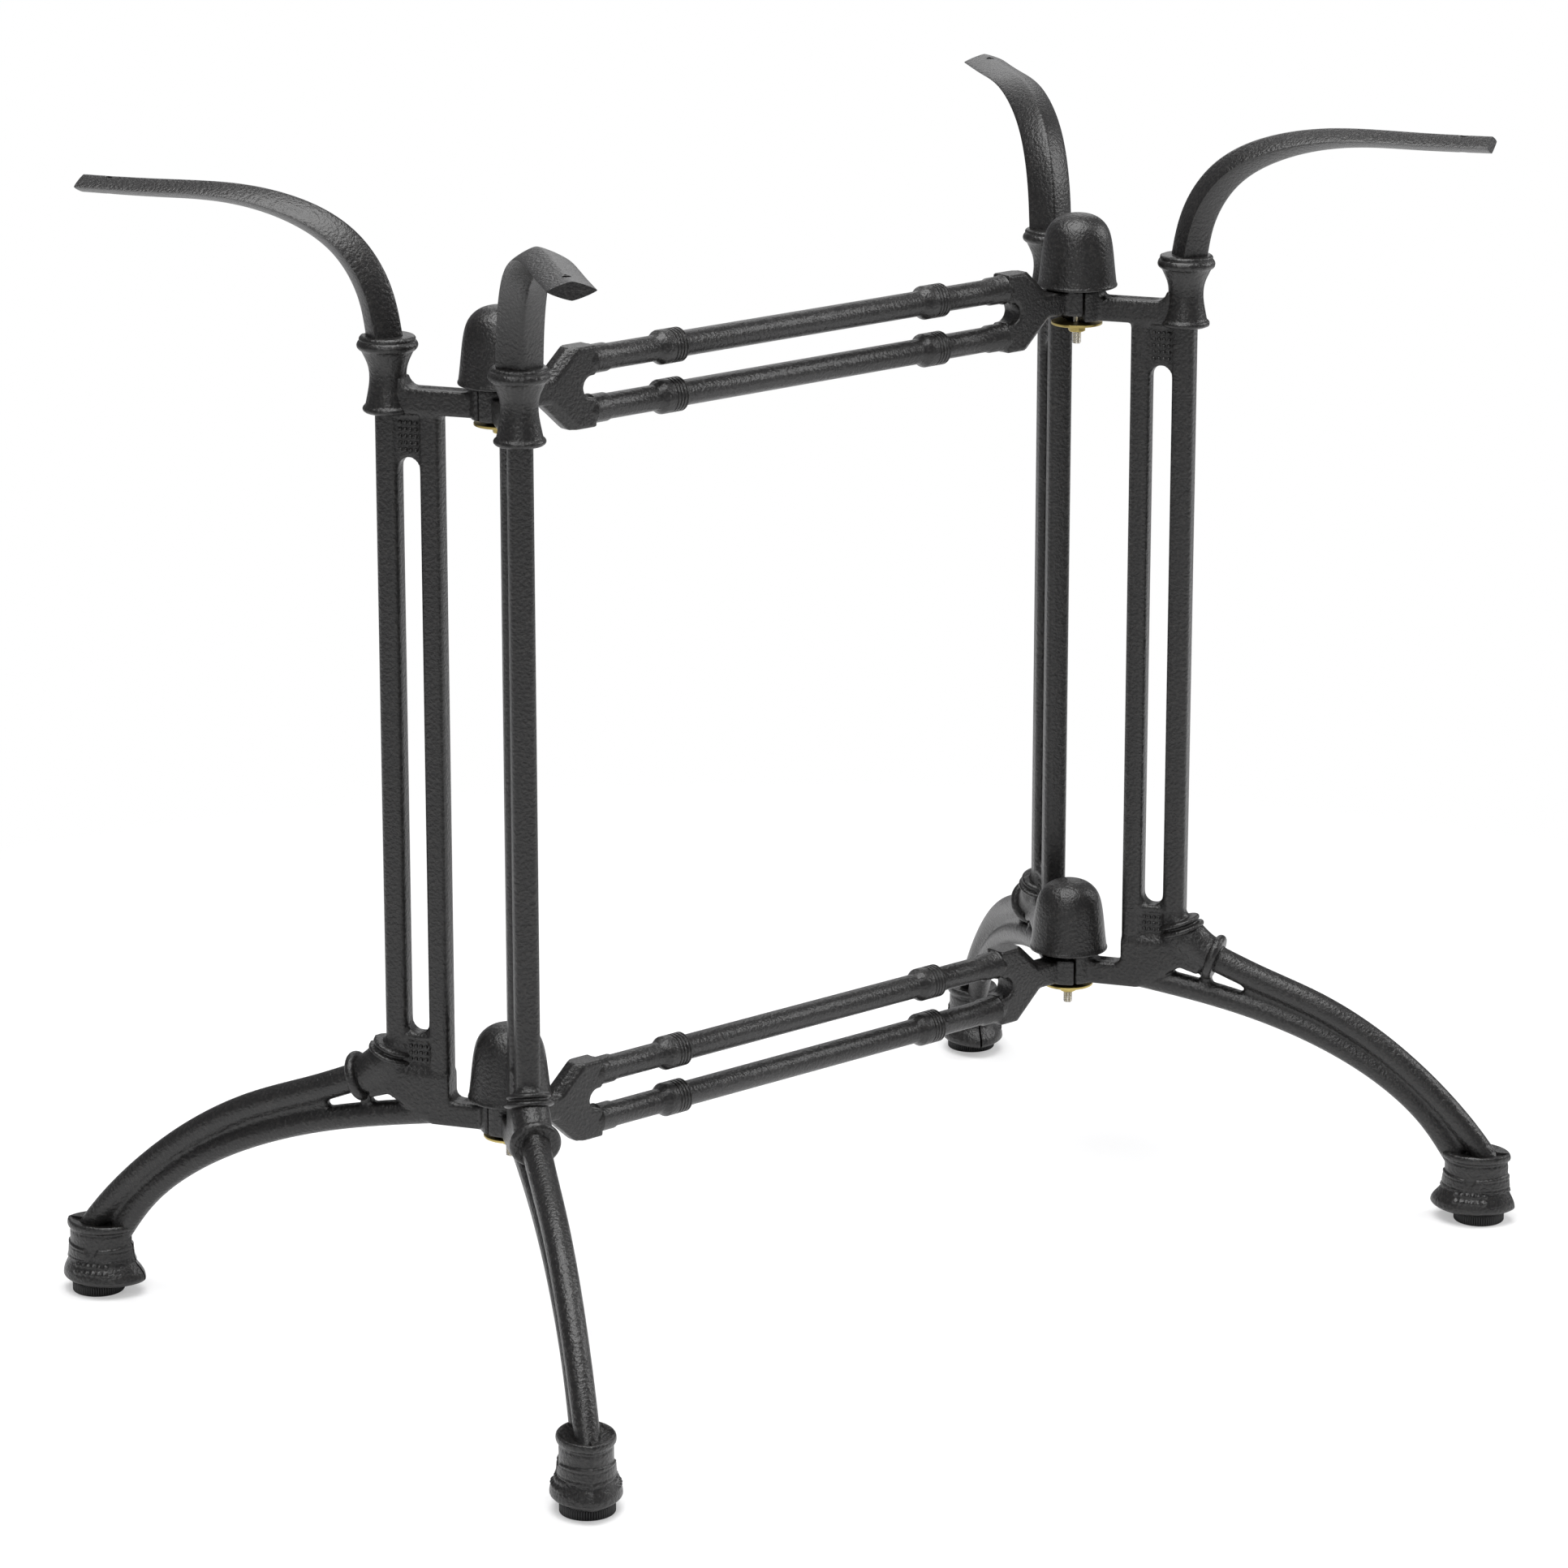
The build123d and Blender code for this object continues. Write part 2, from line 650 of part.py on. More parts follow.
# Stud through the hub ends
with BuildPart() as stud:
    with BuildSketch(Plane.XY.offset(stud_low)):
        Circle(thread_radius)
    extrude(amount=hub_rise + stud_grip - stud_low)
    chamfer(stud.edges().filter_by(GeomType.CIRCLE), nut_chamfer)

with BuildPart() as washer:
    with BuildSketch(Plane.XY.offset(nut_top)):
        Circle(washer_radius)
        Circle(washer_bore, mode=Mode.SUBTRACT)
    extrude(amount=washer_thickness)

with BuildPart() as nut:
    with BuildSketch(Plane.XY.offset(nut_top - nut_height)):
        Circle(nut_across_flats / 2 / cos(radians(30)))
    extrude(amount=nut_height)
    chamfer(nut.edges().filter_by(GeomType.CIRCLE), nut_chamfer)
    with BuildSketch(Plane.XY.offset(nut_top - nut_height)):
        RegularPolygon(nut_across_flats / 2, 6, major_radius=False)
    extrude(amount=nut_height, mode=Mode.INTERSECT)
    with BuildSketch(Plane.XY.offset(nut_top - nut_height)):
        Circle(thread_radius + thread_clearance)
    extrude(amount=nut_height, mode=Mode.SUBTRACT)

# Glide: fluted foot and the stem that screws up into the boot
with BuildPart() as glide:
    with BuildSketch(Plane.XY):
        Circle(glide_radius)
    extrude(amount=glide_height)
    chamfer(glide.faces().sort_by(Axis.Z)[0].edges(), glide_chamfer)
    with BuildSketch(Plane.XY):
        with PolarLocations(glide_radius, glide_flutes):
            Circle(flute_radius)
    extrude(amount=glide_height, mode=Mode.SUBTRACT)
    with BuildSketch(Plane.XY.offset(stem_seat)):
        Circle(stem_radius + stem_clearance)
    extrude(amount=glide_height, mode=Mode.SUBTRACT)

with BuildPart() as glide_stem:
    with BuildSketch(Plane.XY.offset(stem_seat)):
        Circle(stem_radius)
    extrude(amount=stem_length)


# Each piece in its place, written to its own file

def place(piece, name, spot, turn=0.0):
    """Set a copy of a piece at its spot, turned about Z, under its own name."""
    with BuildPart() as placed:
        with Locations(Location(spot, (0, 0, turn))):
            add(piece.part)
    placed.part.label = name
    export_step(placed.part, f"parts/{name}.step")


os.makedirs("parts", exist_ok=True)

legs = (
    ("back_left", -half_span, 180 - splay),
    ("front_left", -half_span, splay - 180),
    ("back_right", half_span, splay),
    ("front_right", half_span, -splay),
)
for corner, hub_x, turn in legs:
    out_x = hub_x + glide_reach * cos(radians(turn))
    out_y = glide_reach * sin(radians(turn))
    place(leg, f"leg_{corner}", (hub_x, 0, 0), turn)
    place(glide, f"glide_{corner}", (out_x, out_y, 0), turn)
    place(glide_stem, f"glide_stem_{corner}", (out_x, out_y, 0), turn)

upper_middle = hub_high + hub_rise - tang_height / 2
lower_middle = hub_low - bracket_half + tang_height / 2
place(stretcher_casting(0), "stretcher_upper", (0, 0, upper_middle))
place(stretcher_casting(pad_depth), "stretcher_lower", (0, 0, lower_middle))

for tier, hub_level in (("upper", hub_high), ("lower", hub_low)):
    for side, hub_x in (("left", -half_span), ("right", half_span)):
        place(cap, f"cap_{tier}_{side}", (hub_x, 0, hub_level + hub_rise))
        place(stud, f"stud_{tier}_{side}", (hub_x, 0, hub_level))
        place(washer, f"washer_{tier}_{side}", (hub_x, 0, hub_level))
        place(nut, f"nut_{tier}_{side}", (hub_x, 0, hub_level))
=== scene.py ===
import json
import math
import bmesh
import bpy
import numpy as np
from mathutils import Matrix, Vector


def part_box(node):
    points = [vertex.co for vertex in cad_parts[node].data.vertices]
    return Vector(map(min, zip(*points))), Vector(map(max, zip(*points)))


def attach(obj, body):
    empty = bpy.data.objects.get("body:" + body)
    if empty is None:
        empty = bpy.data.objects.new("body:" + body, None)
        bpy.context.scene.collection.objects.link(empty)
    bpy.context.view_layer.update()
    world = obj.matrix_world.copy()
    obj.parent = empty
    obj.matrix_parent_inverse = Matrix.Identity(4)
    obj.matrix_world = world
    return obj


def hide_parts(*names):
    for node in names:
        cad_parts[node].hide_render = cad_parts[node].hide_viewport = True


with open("model.json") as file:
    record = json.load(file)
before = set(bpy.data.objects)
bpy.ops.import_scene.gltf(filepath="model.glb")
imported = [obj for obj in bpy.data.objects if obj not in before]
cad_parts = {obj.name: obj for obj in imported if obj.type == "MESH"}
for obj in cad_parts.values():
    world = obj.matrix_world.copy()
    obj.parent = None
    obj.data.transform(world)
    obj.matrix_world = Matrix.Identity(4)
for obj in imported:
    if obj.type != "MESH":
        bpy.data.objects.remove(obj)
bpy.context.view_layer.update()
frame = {"nodes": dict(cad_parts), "record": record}
mm = 0.001


def nodeBox(node):
    # lowest and highest corner of a node, in millimetres
    low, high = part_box(node)
    return np.array(low) / mm, np.array(high) / mm


# Places read from the frame: hub axes, the seats of the caps, the glides' axes
capLow, capHigh = nodeBox("cap_upper_right")
hubReach = (capLow[0] + capHigh[0]) / 2
hubRise = 13.2                                         # cap seat above the middle of the leg's bracket
highLevel = capLow[2] - hubRise                        # middle of the upper brackets
lowLevel = nodeBox("cap_lower_right")[0][2] - hubRise  # middle of the lower brackets
glideLow, glideHigh = nodeBox("glide_front_right")
glideMiddle = (glideLow + glideHigh) / 2
glideReach = math.hypot(glideMiddle[0] - hubReach, glideMiddle[1])
stemBore = 4.05                                        # radius of the stem's bore in boot and glide
splay = math.degrees(math.atan2(-glideMiddle[1], glideMiddle[0] - hubReach))
legPlaces = {
    "back_left": (-hubReach, 180 - splay),
    "front_left": (-hubReach, splay - 180),
    "back_right": (hubReach, splay),
    "front_right": (hubReach, -splay),
}


# Shapes as whole arrays, in millimetres

def smoothLine(points, count):
    # natural cubic spline through the points, its parameter the chord length, read at even steps
    points = np.asarray(points, float)
    gaps = np.linalg.norm(np.diff(points, axis=0), axis=1)
    knots = np.concatenate([[0.0], np.cumsum(gaps)])
    slopes = np.diff(points, axis=0) / gaps[:, None]
    system = np.diag(np.concatenate([[1.0], 2 * (gaps[1:] + gaps[:-1]), [1.0]]))
    inner = np.arange(1, len(points) - 1)
    system[inner, inner - 1] = gaps[:-1]
    system[inner, inner + 1] = gaps[1:]
    right = np.zeros_like(points)
    right[1:-1] = 6 * np.diff(slopes, axis=0)
    bend = np.linalg.solve(system, right)
    at = np.linspace(0, knots[-1], count)
    k = np.clip(np.searchsorted(knots, at) - 1, 0, len(points) - 2)
    gap = gaps[k][:, None]
    low, high = (at - knots[k])[:, None], (knots[k + 1] - at)[:, None]
    return ((bend[k] * high ** 3 + bend[k + 1] * low ** 3) / (6 * gap)
            + (points[k] / gap - bend[k] * gap / 6) * high
            + (points[k + 1] / gap - bend[k + 1] * gap / 6) * low)


def evened(values, reach):
    # running mean with a reach to either side, the end values repeated
    width = 2 * reach + 1
    return np.convolve(np.pad(values, reach, mode="edge"), np.ones(width) / width, mode="valid")


def roundShape(count, power=2.0):
    # unit superellipse: |x|^power + |y|^power = 1, a circle at 2 and a lozenge near 1
    angle = np.linspace(0, 2 * np.pi, count, endpoint=False)
    c, s = np.cos(angle), np.sin(angle)
    reach = (np.abs(c) ** power + np.abs(s) ** power) ** (-1 / power)
    return np.stack([reach * c, reach * s], axis=-1)


def roundedBox(width, depth, corner, steps=6):
    # rectangle with quarter circles at its corners
    quarter = np.linspace(0, np.pi / 2, steps)
    parts = []
    for k, (sx, sy) in enumerate(((1, 1), (-1, 1), (-1, -1), (1, -1))):
        turn = quarter + k * np.pi / 2
        middle = np.array([sx * (width / 2 - corner), sy * (depth / 2 - corner)])
        parts.append(middle + corner * np.stack([np.cos(turn), np.sin(turn)], axis=-1))
    return np.concatenate(parts)


def stack(rings):
    # closed solid through a pile of rings: quads between neighbours, a flat face at each end
    rows, count = rings.shape[:2]
    index = np.arange(rows * count).reshape(rows, count)
    ahead = np.roll(index, -1, axis=1)
    quads = np.stack([index[:-1], ahead[:-1], ahead[1:], index[1:]], axis=-1).reshape(-1, 4)
    return rings.reshape(-1, 3), quads.tolist() + [index[0][::-1].tolist(), index[-1].tolist()]


def ringsOf(radius, angle, height):
    # rings round the upright axis from their radii, angles and heights
    height = np.broadcast_to(height, radius.shape)
    return np.stack([radius * np.cos(angle), radius * np.sin(angle), height], axis=-1)


def carry(shape, path, widths, depths):
    # a shape carried along a path in the leg's middle plane: sideways by its x, square to the path by
    # its y
    tangent = np.gradient(path, axis=0)
    tangent /= np.linalg.norm(tangent, axis=1)[:, None]
    widths = np.broadcast_to(widths, len(path))[:, None]
    depths = np.broadcast_to(depths, len(path))[:, None]
    x = path[:, :1] - depths * shape[:, 1] * tangent[:, 1:]
    z = path[:, 1:] + depths * shape[:, 1] * tangent[:, :1]
    return stack(np.stack([x, widths * shape[:, 0], z], axis=-1))


mouldSeam = dict(spread=0.045, leastRadius=5.0)


def turned(profile, middle, axis=(0, 0, 1), count=72, seam=0.0):
    # a profile of (radius, height) pairs turned about an axis through the middle; a mould seam raises
    # the radius by a bell, exp(-(cos angle / spread)^2), at the two places in the middle plane
    axis = np.asarray(axis, float) / np.linalg.norm(axis)
    side = np.array([0.0, 1.0, 0.0]) if abs(axis[1]) < 0.5 else np.array([1.0, 0.0, 0.0])
    other = np.cross(axis, side)
    angle = np.linspace(0, 2 * np.pi, count, endpoint=False)
    spokes = np.cos(angle)[:, None] * side + np.sin(angle)[:, None] * other
    profile = np.asarray(profile, float)[:, None]
    radius, height = profile[..., :1], profile[..., 1:]
    bell = np.exp(-(np.cos(angle) / mouldSeam["spread"]) ** 2)[:, None]
    radius = radius + seam * (radius > mouldSeam["leastRadius"]) * bell
    return stack(np.asarray(middle) + radius * spokes + height * axis)


def slab(outline, low, high, edge, lay):
    # an outline between two heights, its rims rounded by a quarter circle; lay turns (x, y, height)
    # into space, and the miter at a sharp corner stays under 2.5 times the inset
    outline = np.asarray(outline, float)
    ahead = np.roll(outline, -1, axis=0) - outline
    ahead /= np.linalg.norm(ahead, axis=1)[:, None]
    normal = np.stack([ahead[:, 1], -ahead[:, 0]], axis=-1)
    miter = normal + np.roll(normal, 1, axis=0)
    miter /= np.maximum((miter * normal).sum(axis=1), 0.4)[:, None]
    turn = np.linspace(0, np.pi / 2, 5)
    inset = np.concatenate([edge * (1 - np.sin(turn)), edge * (1 - np.cos(turn))])
    height = np.concatenate([low + edge * (1 - np.cos(turn)), high - edge * (1 - np.sin(turn))])
    flat = outline - inset[:, None, None] * miter
    height = np.broadcast_to(height[:, None, None], flat.shape[:2] + (1,))
    return stack(lay(np.concatenate([flat, height], axis=-1)))


def upright(points):
    # (x, y, height) of a slab to a plate in the leg's middle plane: y goes up, the height to the side
    return np.stack([points[..., 0], -points[..., 2], points[..., 1]], axis=-1)


def across(points):
    # (y, z, height) of a slab to a bar that runs along the leg: the height goes outward
    return np.stack([points[..., 2], points[..., 0], points[..., 1]], axis=-1)


def level(points):
    # a slab that lies flat keeps its axes
    return points


def joined(solids):
    # several solids as one list of points and faces
    points, faces, start = [], [], 0
    for corners, polygons in solids:
        points.append(corners)
        faces += [[k + start for k in polygon] for polygon in polygons]
        start += len(corners)
    return np.concatenate(points), faces


def meshOf(name, solid):
    # mesh of a solid: poles and seams merged, faces turned outward
    points, faces = solid
    mesh = bpy.data.meshes.new(name)
    mesh.from_pydata(points.tolist(), [], faces)
    work = bmesh.new()
    work.from_mesh(mesh)
    bmesh.ops.remove_doubles(work, verts=work.verts, dist=1e-4)
    bmesh.ops.recalc_face_normals(work, faces=work.faces)
    work.to_mesh(mesh)
    work.free()
    return mesh


def finished(mesh, addModifiers):
    # a mesh with modifiers worked in, as points and faces
    piece = bpy.data.objects.new("working", mesh)
    bpy.context.scene.collection.objects.link(piece)
    addModifiers(piece)
    bpy.context.view_layer.update()
    solid = piece.evaluated_get(bpy.context.evaluated_depsgraph_get()).to_mesh()
    points = np.empty(len(solid.vertices) * 3)
    solid.vertices.foreach_get("co", points)
    faces = [list(polygon.vertices) for polygon in solid.polygons]
    bpy.data.objects.remove(piece)
    return points.reshape(-1, 3), faces


def cutOut(solid, cutter):
    # a solid less another one
    tool = bpy.data.objects.new("cutter", meshOf("cutter", cutter))
    bpy.context.scene.collection.objects.link(tool)

    def addModifiers(piece):
        cut = piece.modifiers.new("cut", "BOOLEAN")
        cut.operation = "DIFFERENCE"
        cut.object = tool
    result = finished(meshOf("blank", solid), addModifiers)
    bpy.data.objects.remove(tool)
    return result


def cast(solids, grain, rounds):
    # overlapping solids fused on a fine grid, corners eased by smoothing, as sand casting leaves them
    def addModifiers(piece):
        fuse = piece.modifiers.new("fuse", "REMESH")
        fuse.mode = "VOXEL"
        fuse.voxel_size = grain
        ease = piece.modifiers.new("ease", "SMOOTH")
        ease.factor = 0.5
        ease.iterations = rounds
    return finished(meshOf("pattern", joined(solids)), addModifiers)


def placed(points, spot, turn):
    # points turned about the upright axis, then moved
    c, s = math.cos(math.radians(turn)), math.sin(math.radians(turn))
    return points @ np.array([[c, s, 0], [-s, c, 0], [0, 0, 1]]) + np.asarray(spot)


def addPiece(name, solid, node, body, spot, sharp, turn=0.0):
    # a piece of the visual model in metres; edges steeper than the sharp angle stay crisp
    points, faces = solid
    mesh = meshOf(name, (placed(points, spot, turn), faces))
    flat = np.empty(len(mesh.vertices) * 3)
    mesh.vertices.foreach_get("co", flat)
    mesh.vertices.foreach_set("co", flat * mm)
    mesh.polygons.foreach_set("use_smooth", [True] * len(mesh.polygons))
    mesh.set_sharp_from_angle(angle=math.radians(sharp))
    piece = bpy.data.objects.new(name, mesh)
    bpy.context.scene.collection.objects.link(piece)
    mesh.materials.append(materials[slotOf[node]])
    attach(piece, body)
    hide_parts(node)


# Colours and shader nodes

def linear(hexColour):
    # sRGB hex to linear: each channel below 0.04045 is divided by 12.92, the rest is raised to 2.4
    channels = [int(hexColour[k:k + 2], 16) / 255 for k in (1, 3, 5)]
    return [c / 12.92 if c <= 0.04045 else ((c + 0.055) / 1.055) ** 2.4 for c in channels] + [1.0]


def addNode(tree, kind, links=None, **settings):
    # one node: settings are attributes or input values, links go from another node's output to an input
    node = tree.nodes.new(kind)
    for key, value in settings.items():
        if hasattr(node, key):
            setattr(node, key, value)
        else:
            node.inputs[key.replace("_", " ")].default_value = value
    for socket, source in (links or {}).items():
        tree.links.new(source, node.inputs[socket])
    return node


def newMaterial(name):
    material = bpy.data.materials.new(name)
    material.use_nodes = True
    material.node_tree.nodes.clear()
    return material, material.node_tree


# Powder coat on the castings: pebbled skin, satin, nearly black; the real pebbles are finer than a
# millimetre and are drawn at 2 mm, as coarse as they need to show; the pebbles' tops carry painted
# glints, a paler colour that stands in for highlights, and the swell spreads these painted glints unevenly
coat = dict(base="#0f0e0e", paintedGlint="#2c2a28", pebble=2.0, swell=16.0, detail=2.0, paintedGlintFrom=0.45,
            paintedGlintTo=0.72, bump=1.0, depth=0.6, roughness=0.38)


def powderCoat():
    # black polyester powder coat: soft broad highlights broken up by a pebbled skin, the pebbles' tops
    # painted paler as painted glints, more in some patches than in others
    material, tree = newMaterial("powderCoatBlack")
    place = addNode(tree, "ShaderNodeTexCoord").outputs["Object"]
    pebble = addNode(tree, "ShaderNodeTexNoise", {"Vector": place}, noise_dimensions="3D",
                     Scale=1 / (coat["pebble"] * mm), Detail=coat["detail"], Roughness=0.5)
    swell = addNode(tree, "ShaderNodeTexNoise", {"Vector": place}, noise_dimensions="3D",
                    Scale=1 / (coat["swell"] * mm), Detail=coat["detail"], Roughness=0.5)
    # painted highlight: the pebbles' tops are painted toward a paler colour, as glints, scaled by the swell
    tops = addNode(tree, "ShaderNodeMapRange", {"Value": pebble.outputs["Fac"]},
                   From_Min=coat["paintedGlintFrom"], From_Max=coat["paintedGlintTo"])
    glintShare = addNode(tree, "ShaderNodeMath", {0: tops.outputs["Result"], 1: swell.outputs["Fac"]},
                  operation="MULTIPLY")
    tone = addNode(tree, "ShaderNodeMix", {"Factor": glintShare.outputs["Value"]}, data_type="RGBA")
    tone.inputs["A"].default_value = linear(coat["base"])
    tone.inputs["B"].default_value = linear(coat["paintedGlint"])
    bump = addNode(tree, "ShaderNodeBump", {"Height": pebble.outputs["Fac"]},
                   Strength=coat["bump"], Distance=coat["depth"] * mm)
    shader = addNode(tree, "ShaderNodeBsdfPrincipled",
                     {"Base Color": tone.outputs["Result"], "Normal": bump.outputs["Normal"]},
                     Roughness=coat["roughness"], IOR=1.5)
    addNode(tree, "ShaderNodeOutputMaterial", {"Surface": shader.outputs["BSDF"]})
    return material


def grainedSurface(name, colour, grain, detail, bump, **settings):
    # one plain colour with a faint grain, its size in millimetres, raised by a twentieth of one
    material, tree = newMaterial(name)
    place = addNode(tree, "ShaderNodeTexCoord").outputs["Object"]
    noise = addNode(tree, "ShaderNodeTexNoise", {"Vector": place}, Scale=1 / (grain * mm), Detail=detail)
    raised = addNode(tree, "ShaderNodeBump", {"Height": noise.outputs["Fac"]},
                     Strength=bump, Distance=0.05 * mm)
    shader = addNode(tree, "ShaderNodeBsdfPrincipled", {"Normal": raised.outputs["Normal"]}, **settings)
    shader.inputs["Base Color"].default_value = linear(colour)
    addNode(tree, "ShaderNodeOutputMaterial", {"Surface": shader.outputs["BSDF"]})
    return material


def platedSteel(name, colour, roughness):
    # zinc plate on steel: bright metal, dulled and tinted by its passivation
    return grainedSurface(name, colour, 10 / 9, 3.0, 0.1, Metallic=1.0, Roughness=roughness)


def mouldedPlastic():
    # black polyamide glide: dull, slightly grainy
    return grainedSurface("polyamideBlack", "#101011", 2 / 3, 2.0, 0.15, Roughness=0.55, IOR=1.53)


materials = {
    "casting": powderCoat(),
    "zinc_steel": platedSteel("zincPlate", "#cfcdc8", 0.32),
    "yellow_zinc": platedSteel("yellowZincPlate", "#b3a163", 0.36),
    "glide_plastic": mouldedPlastic(),
}
slotOf = {part["node"]: part["material_slot"] for part in frame["record"]["subparts"]}
for name, obj in frame["nodes"].items():
    obj.data.materials.clear()
    obj.data.materials.append(materials[slotOf[name]])
print("materials ready")


# Leg casting, drawn with its hub axis at the origin and running out along X

uprights = dict(outer=72.8, inner=44.5, outerDepth=14.6, innerDepth=13.6, width=15.0, corner=3.8,
                foot=12.0, panelHalf=5.0, panelSink=3.0, panelEdge=0.4, panelFoot=20.0, slotDrop=35.0,
                slotRise=49.8)
slotInside = uprights["inner"] + uprights["innerDepth"] / 2
slotOutside = uprights["outer"] - uprights["outerDepth"] / 2
slotMiddle = (slotInside + slotOutside) / 2
shelf = dict(under=20.6, base=24.6, top=29.6, reach=7.9, sink=2.0, edge=0.3,
             sillMiddle=47.4, sillHeight=3.6, sillHalf=7.2, sillCorner=1.7)


def uprightSolids():
    # two rounded bars joined by a thinner panel above and below the slot; the lower panel has a sloped
    # shelf and a sill
    u, s, solids = uprights, shelf, []
    for middle, depth in ((u["outer"], u["outerDepth"]), (u["inner"], u["innerDepth"])):
        shape = roundedBox(depth, u["width"], u["corner"])
        rings = [np.column_stack([shape[:, 0] + middle, shape[:, 1], np.full(len(shape), z)])
                 for z in (lowLevel + u["foot"], highLevel)]
        solids.append(stack(np.stack(rings)))
    radius = (slotOutside - slotInside) / 2
    arc = np.linspace(0, np.pi, 17)
    bow = np.column_stack([slotMiddle + radius * np.cos(arc), radius * np.sin(arc)])
    left, right = slotInside - u["panelSink"], slotOutside + u["panelSink"]
    for root, tip, way in ((highLevel, highLevel - u["slotDrop"], 1),
                           (lowLevel + u["panelFoot"], lowLevel + u["slotRise"], -1)):
        edge = np.column_stack([bow[:, 0], tip - way * (radius - bow[:, 1])])
        start = edge[0, 1]
        outline = np.concatenate([[(left, root), (right, root), (right, start)], edge, [(left, start)]])
        solids.append(slab(outline[::way], -u["panelHalf"], u["panelHalf"], u["panelEdge"], upright))
    half, reach = u["panelHalf"], s["reach"]
    slope = [(-reach, s["under"]), (reach, s["under"]), (reach, s["base"]), (half, s["top"]),
             (-half, s["top"]), (-reach, s["base"])]
    sill = roundedBox(2 * s["sillHalf"], s["sillHeight"], s["sillCorner"]) + (0, s["sillMiddle"])
    for outline in (slope, sill):
        solids.append(slab(np.array(outline) + (0, lowLevel), slotInside - s["sink"],
                           slotOutside + s["sink"], s["edge"], across))
    return solids


panelStud = dict(size=2.4, rise=1.2, sink=0.8, power=3.5, turnEnd=1.35, slope=0.7, columns=4, rows=5,
                 pitchAcross=3.3, pitchUp=4.2, drop=21.8, lift=37.4)


def studDome(side):
    # small dome of rounded square plan: its width falls with a power of the cosine, its height grows
    # with the sine
    s = panelStud
    square = roundShape(16, s["power"]) * s["size"] / 2
    turn = np.linspace(0, s["turnEnd"], 5)
    scale = np.concatenate([[1.0], np.cos(turn) ** s["slope"]])
    out = np.concatenate([[-s["sink"]], s["rise"] * np.sin(turn)])
    flat = scale[:, None, None] * square
    return np.stack([flat[..., 0], np.broadcast_to(side * out[:, None], flat.shape[:2]), flat[..., 1]],
                    axis=-1)


def panelStuds():
    # a grid of domes on both sides of each panel
    s, half = panelStud, uprights["panelHalf"]
    along = slotMiddle + s["pitchAcross"] * (np.arange(s["columns"]) - (s["columns"] - 1) / 2)
    up = s["pitchUp"] * (np.arange(s["rows"]) - (s["rows"] - 1) / 2)
    solids = []
    for centre, rows in ((highLevel - s["drop"], up), (lowLevel + s["lift"], up[1:])):
        for side in (-1, 1):
            dome = studDome(side)
            solids += [stack(dome + (x, side * half, centre + z)) for x in along for z in rows]
    return solids


collar = dict(base=-8.6, top=38.2, seam=0.45, around=160,
              foot=((14.1, -8.6), (15.6, -7.1), (15.5, -5.6), (14.1, -4.2)),
              hollow=((13.8, -3.4), (12.5, 2.9), (11.3, 11.4), (12.2, 20.4), (14.9, 26.8)),
              ring=((16.0, 29.0), (18.3, 31.0), (18.6, 32.8), (17.7, 34.7)),
              bead=((17.0, 35.3), (17.2, 36.4), (16.5, 37.6), (13.9, 38.3)))


def collarSolid():
    # turned profile of (radius, height): foot ring, long hollow, wide ring with a finer bead above it
    c = collar
    steps = (("foot", 10), ("hollow", 20), ("ring", 10), ("bead", 8))
    curves = [smoothLine(c[part], count) for part, count in steps]
    profile = np.concatenate([[(0, c["base"])], *curves, [(0, c["top"])]])
    return turned(profile, (uprights["outer"], 0, highLevel), count=c["around"], seam=c["seam"])


arm = dict(width=28.5, power=1.2, tip=270.0, top=720.0, screwInset=18.0, screwRadius=2.75,
           screwDepth=30.0, flatRadius=4.2, flatLow=0.7, flatHigh=0.6,
           route=((74.5, 631), (79.9, 657), (99, 687.2), (132.7, 705.8), (175, 713.8), (222, 714.2),
                  (270, 714.4)),
           depths=((0, 24), (0.2, 22.5), (0.32, 19.5), (0.5, 14.6), (0.66, 11.6), (1, 10.8)))


def armSolid():
    # a lozenge carried from the collar round the bend and out to the square tip, pierced for a table
    # screw, with a shallow flat round the hole
    a = arm
    route = smoothLine(a["route"], 90)
    depth = evened(np.interp(np.linspace(0, 1, len(route)), *zip(*a["depths"])), 6)
    blank = carry(roundShape(72, a["power"]), route, a["width"] / 2, depth / 2)
    hole = turned([(0, -a["screwDepth"]), (a["screwRadius"], -a["screwDepth"]),
                   (a["screwRadius"], -a["flatLow"]), (a["flatRadius"], -a["flatHigh"]),
                   (a["flatRadius"], 5), (0, 5)], (a["tip"] - a["screwInset"], 0, a["top"]), count=32)
    return cutOut(blank, hole)


hub = dict(radius=18.5, slit=0.8, bore=3.6, half=7.75, edge=0.7, padRadius=9.5, padDepth=2.2, padEdge=0.4)


def hubSector(radius, low, high, edge):
    # third of a ring round the hub axis, half a slit short of its neighbours
    gap = hub["slit"] / 2
    wide = math.pi / 3 - math.asin(gap / radius)
    narrow = math.pi / 3 - math.asin(gap / hub["bore"])
    outer, inner = np.linspace(-wide, wide, 31), np.linspace(narrow, -narrow, 13)
    outline = np.concatenate([radius * np.column_stack([np.cos(outer), np.sin(outer)]),
                              hub["bore"] * np.column_stack([np.cos(inner), np.sin(inner)])])
    return slab(outline, low, high, edge, level)


bracket = dict(width=16.5, edge=1.8, start=6.4,
               gusset=((50, -7.75), (78.5, 8.8), (91, 5.1), (94.5, 18.5), (79.8, 29.0), (66.0, 25.5),
                       (37.7, 25.5), (37.7, 11.75), (36.5, 8.95), (33.7, 7.75)),
               pocketStart=20.5, pocketEnds=(54.8, 31.0), pocketHalf=5.0, pocketDepth=1.3,
               pocketCorner=3.5, pocketEdge=0.3,
               filletReach=61.4, filletRadius=6.5, filletDrop=3.0, filletSink=4.0, filletEdge=2.4)


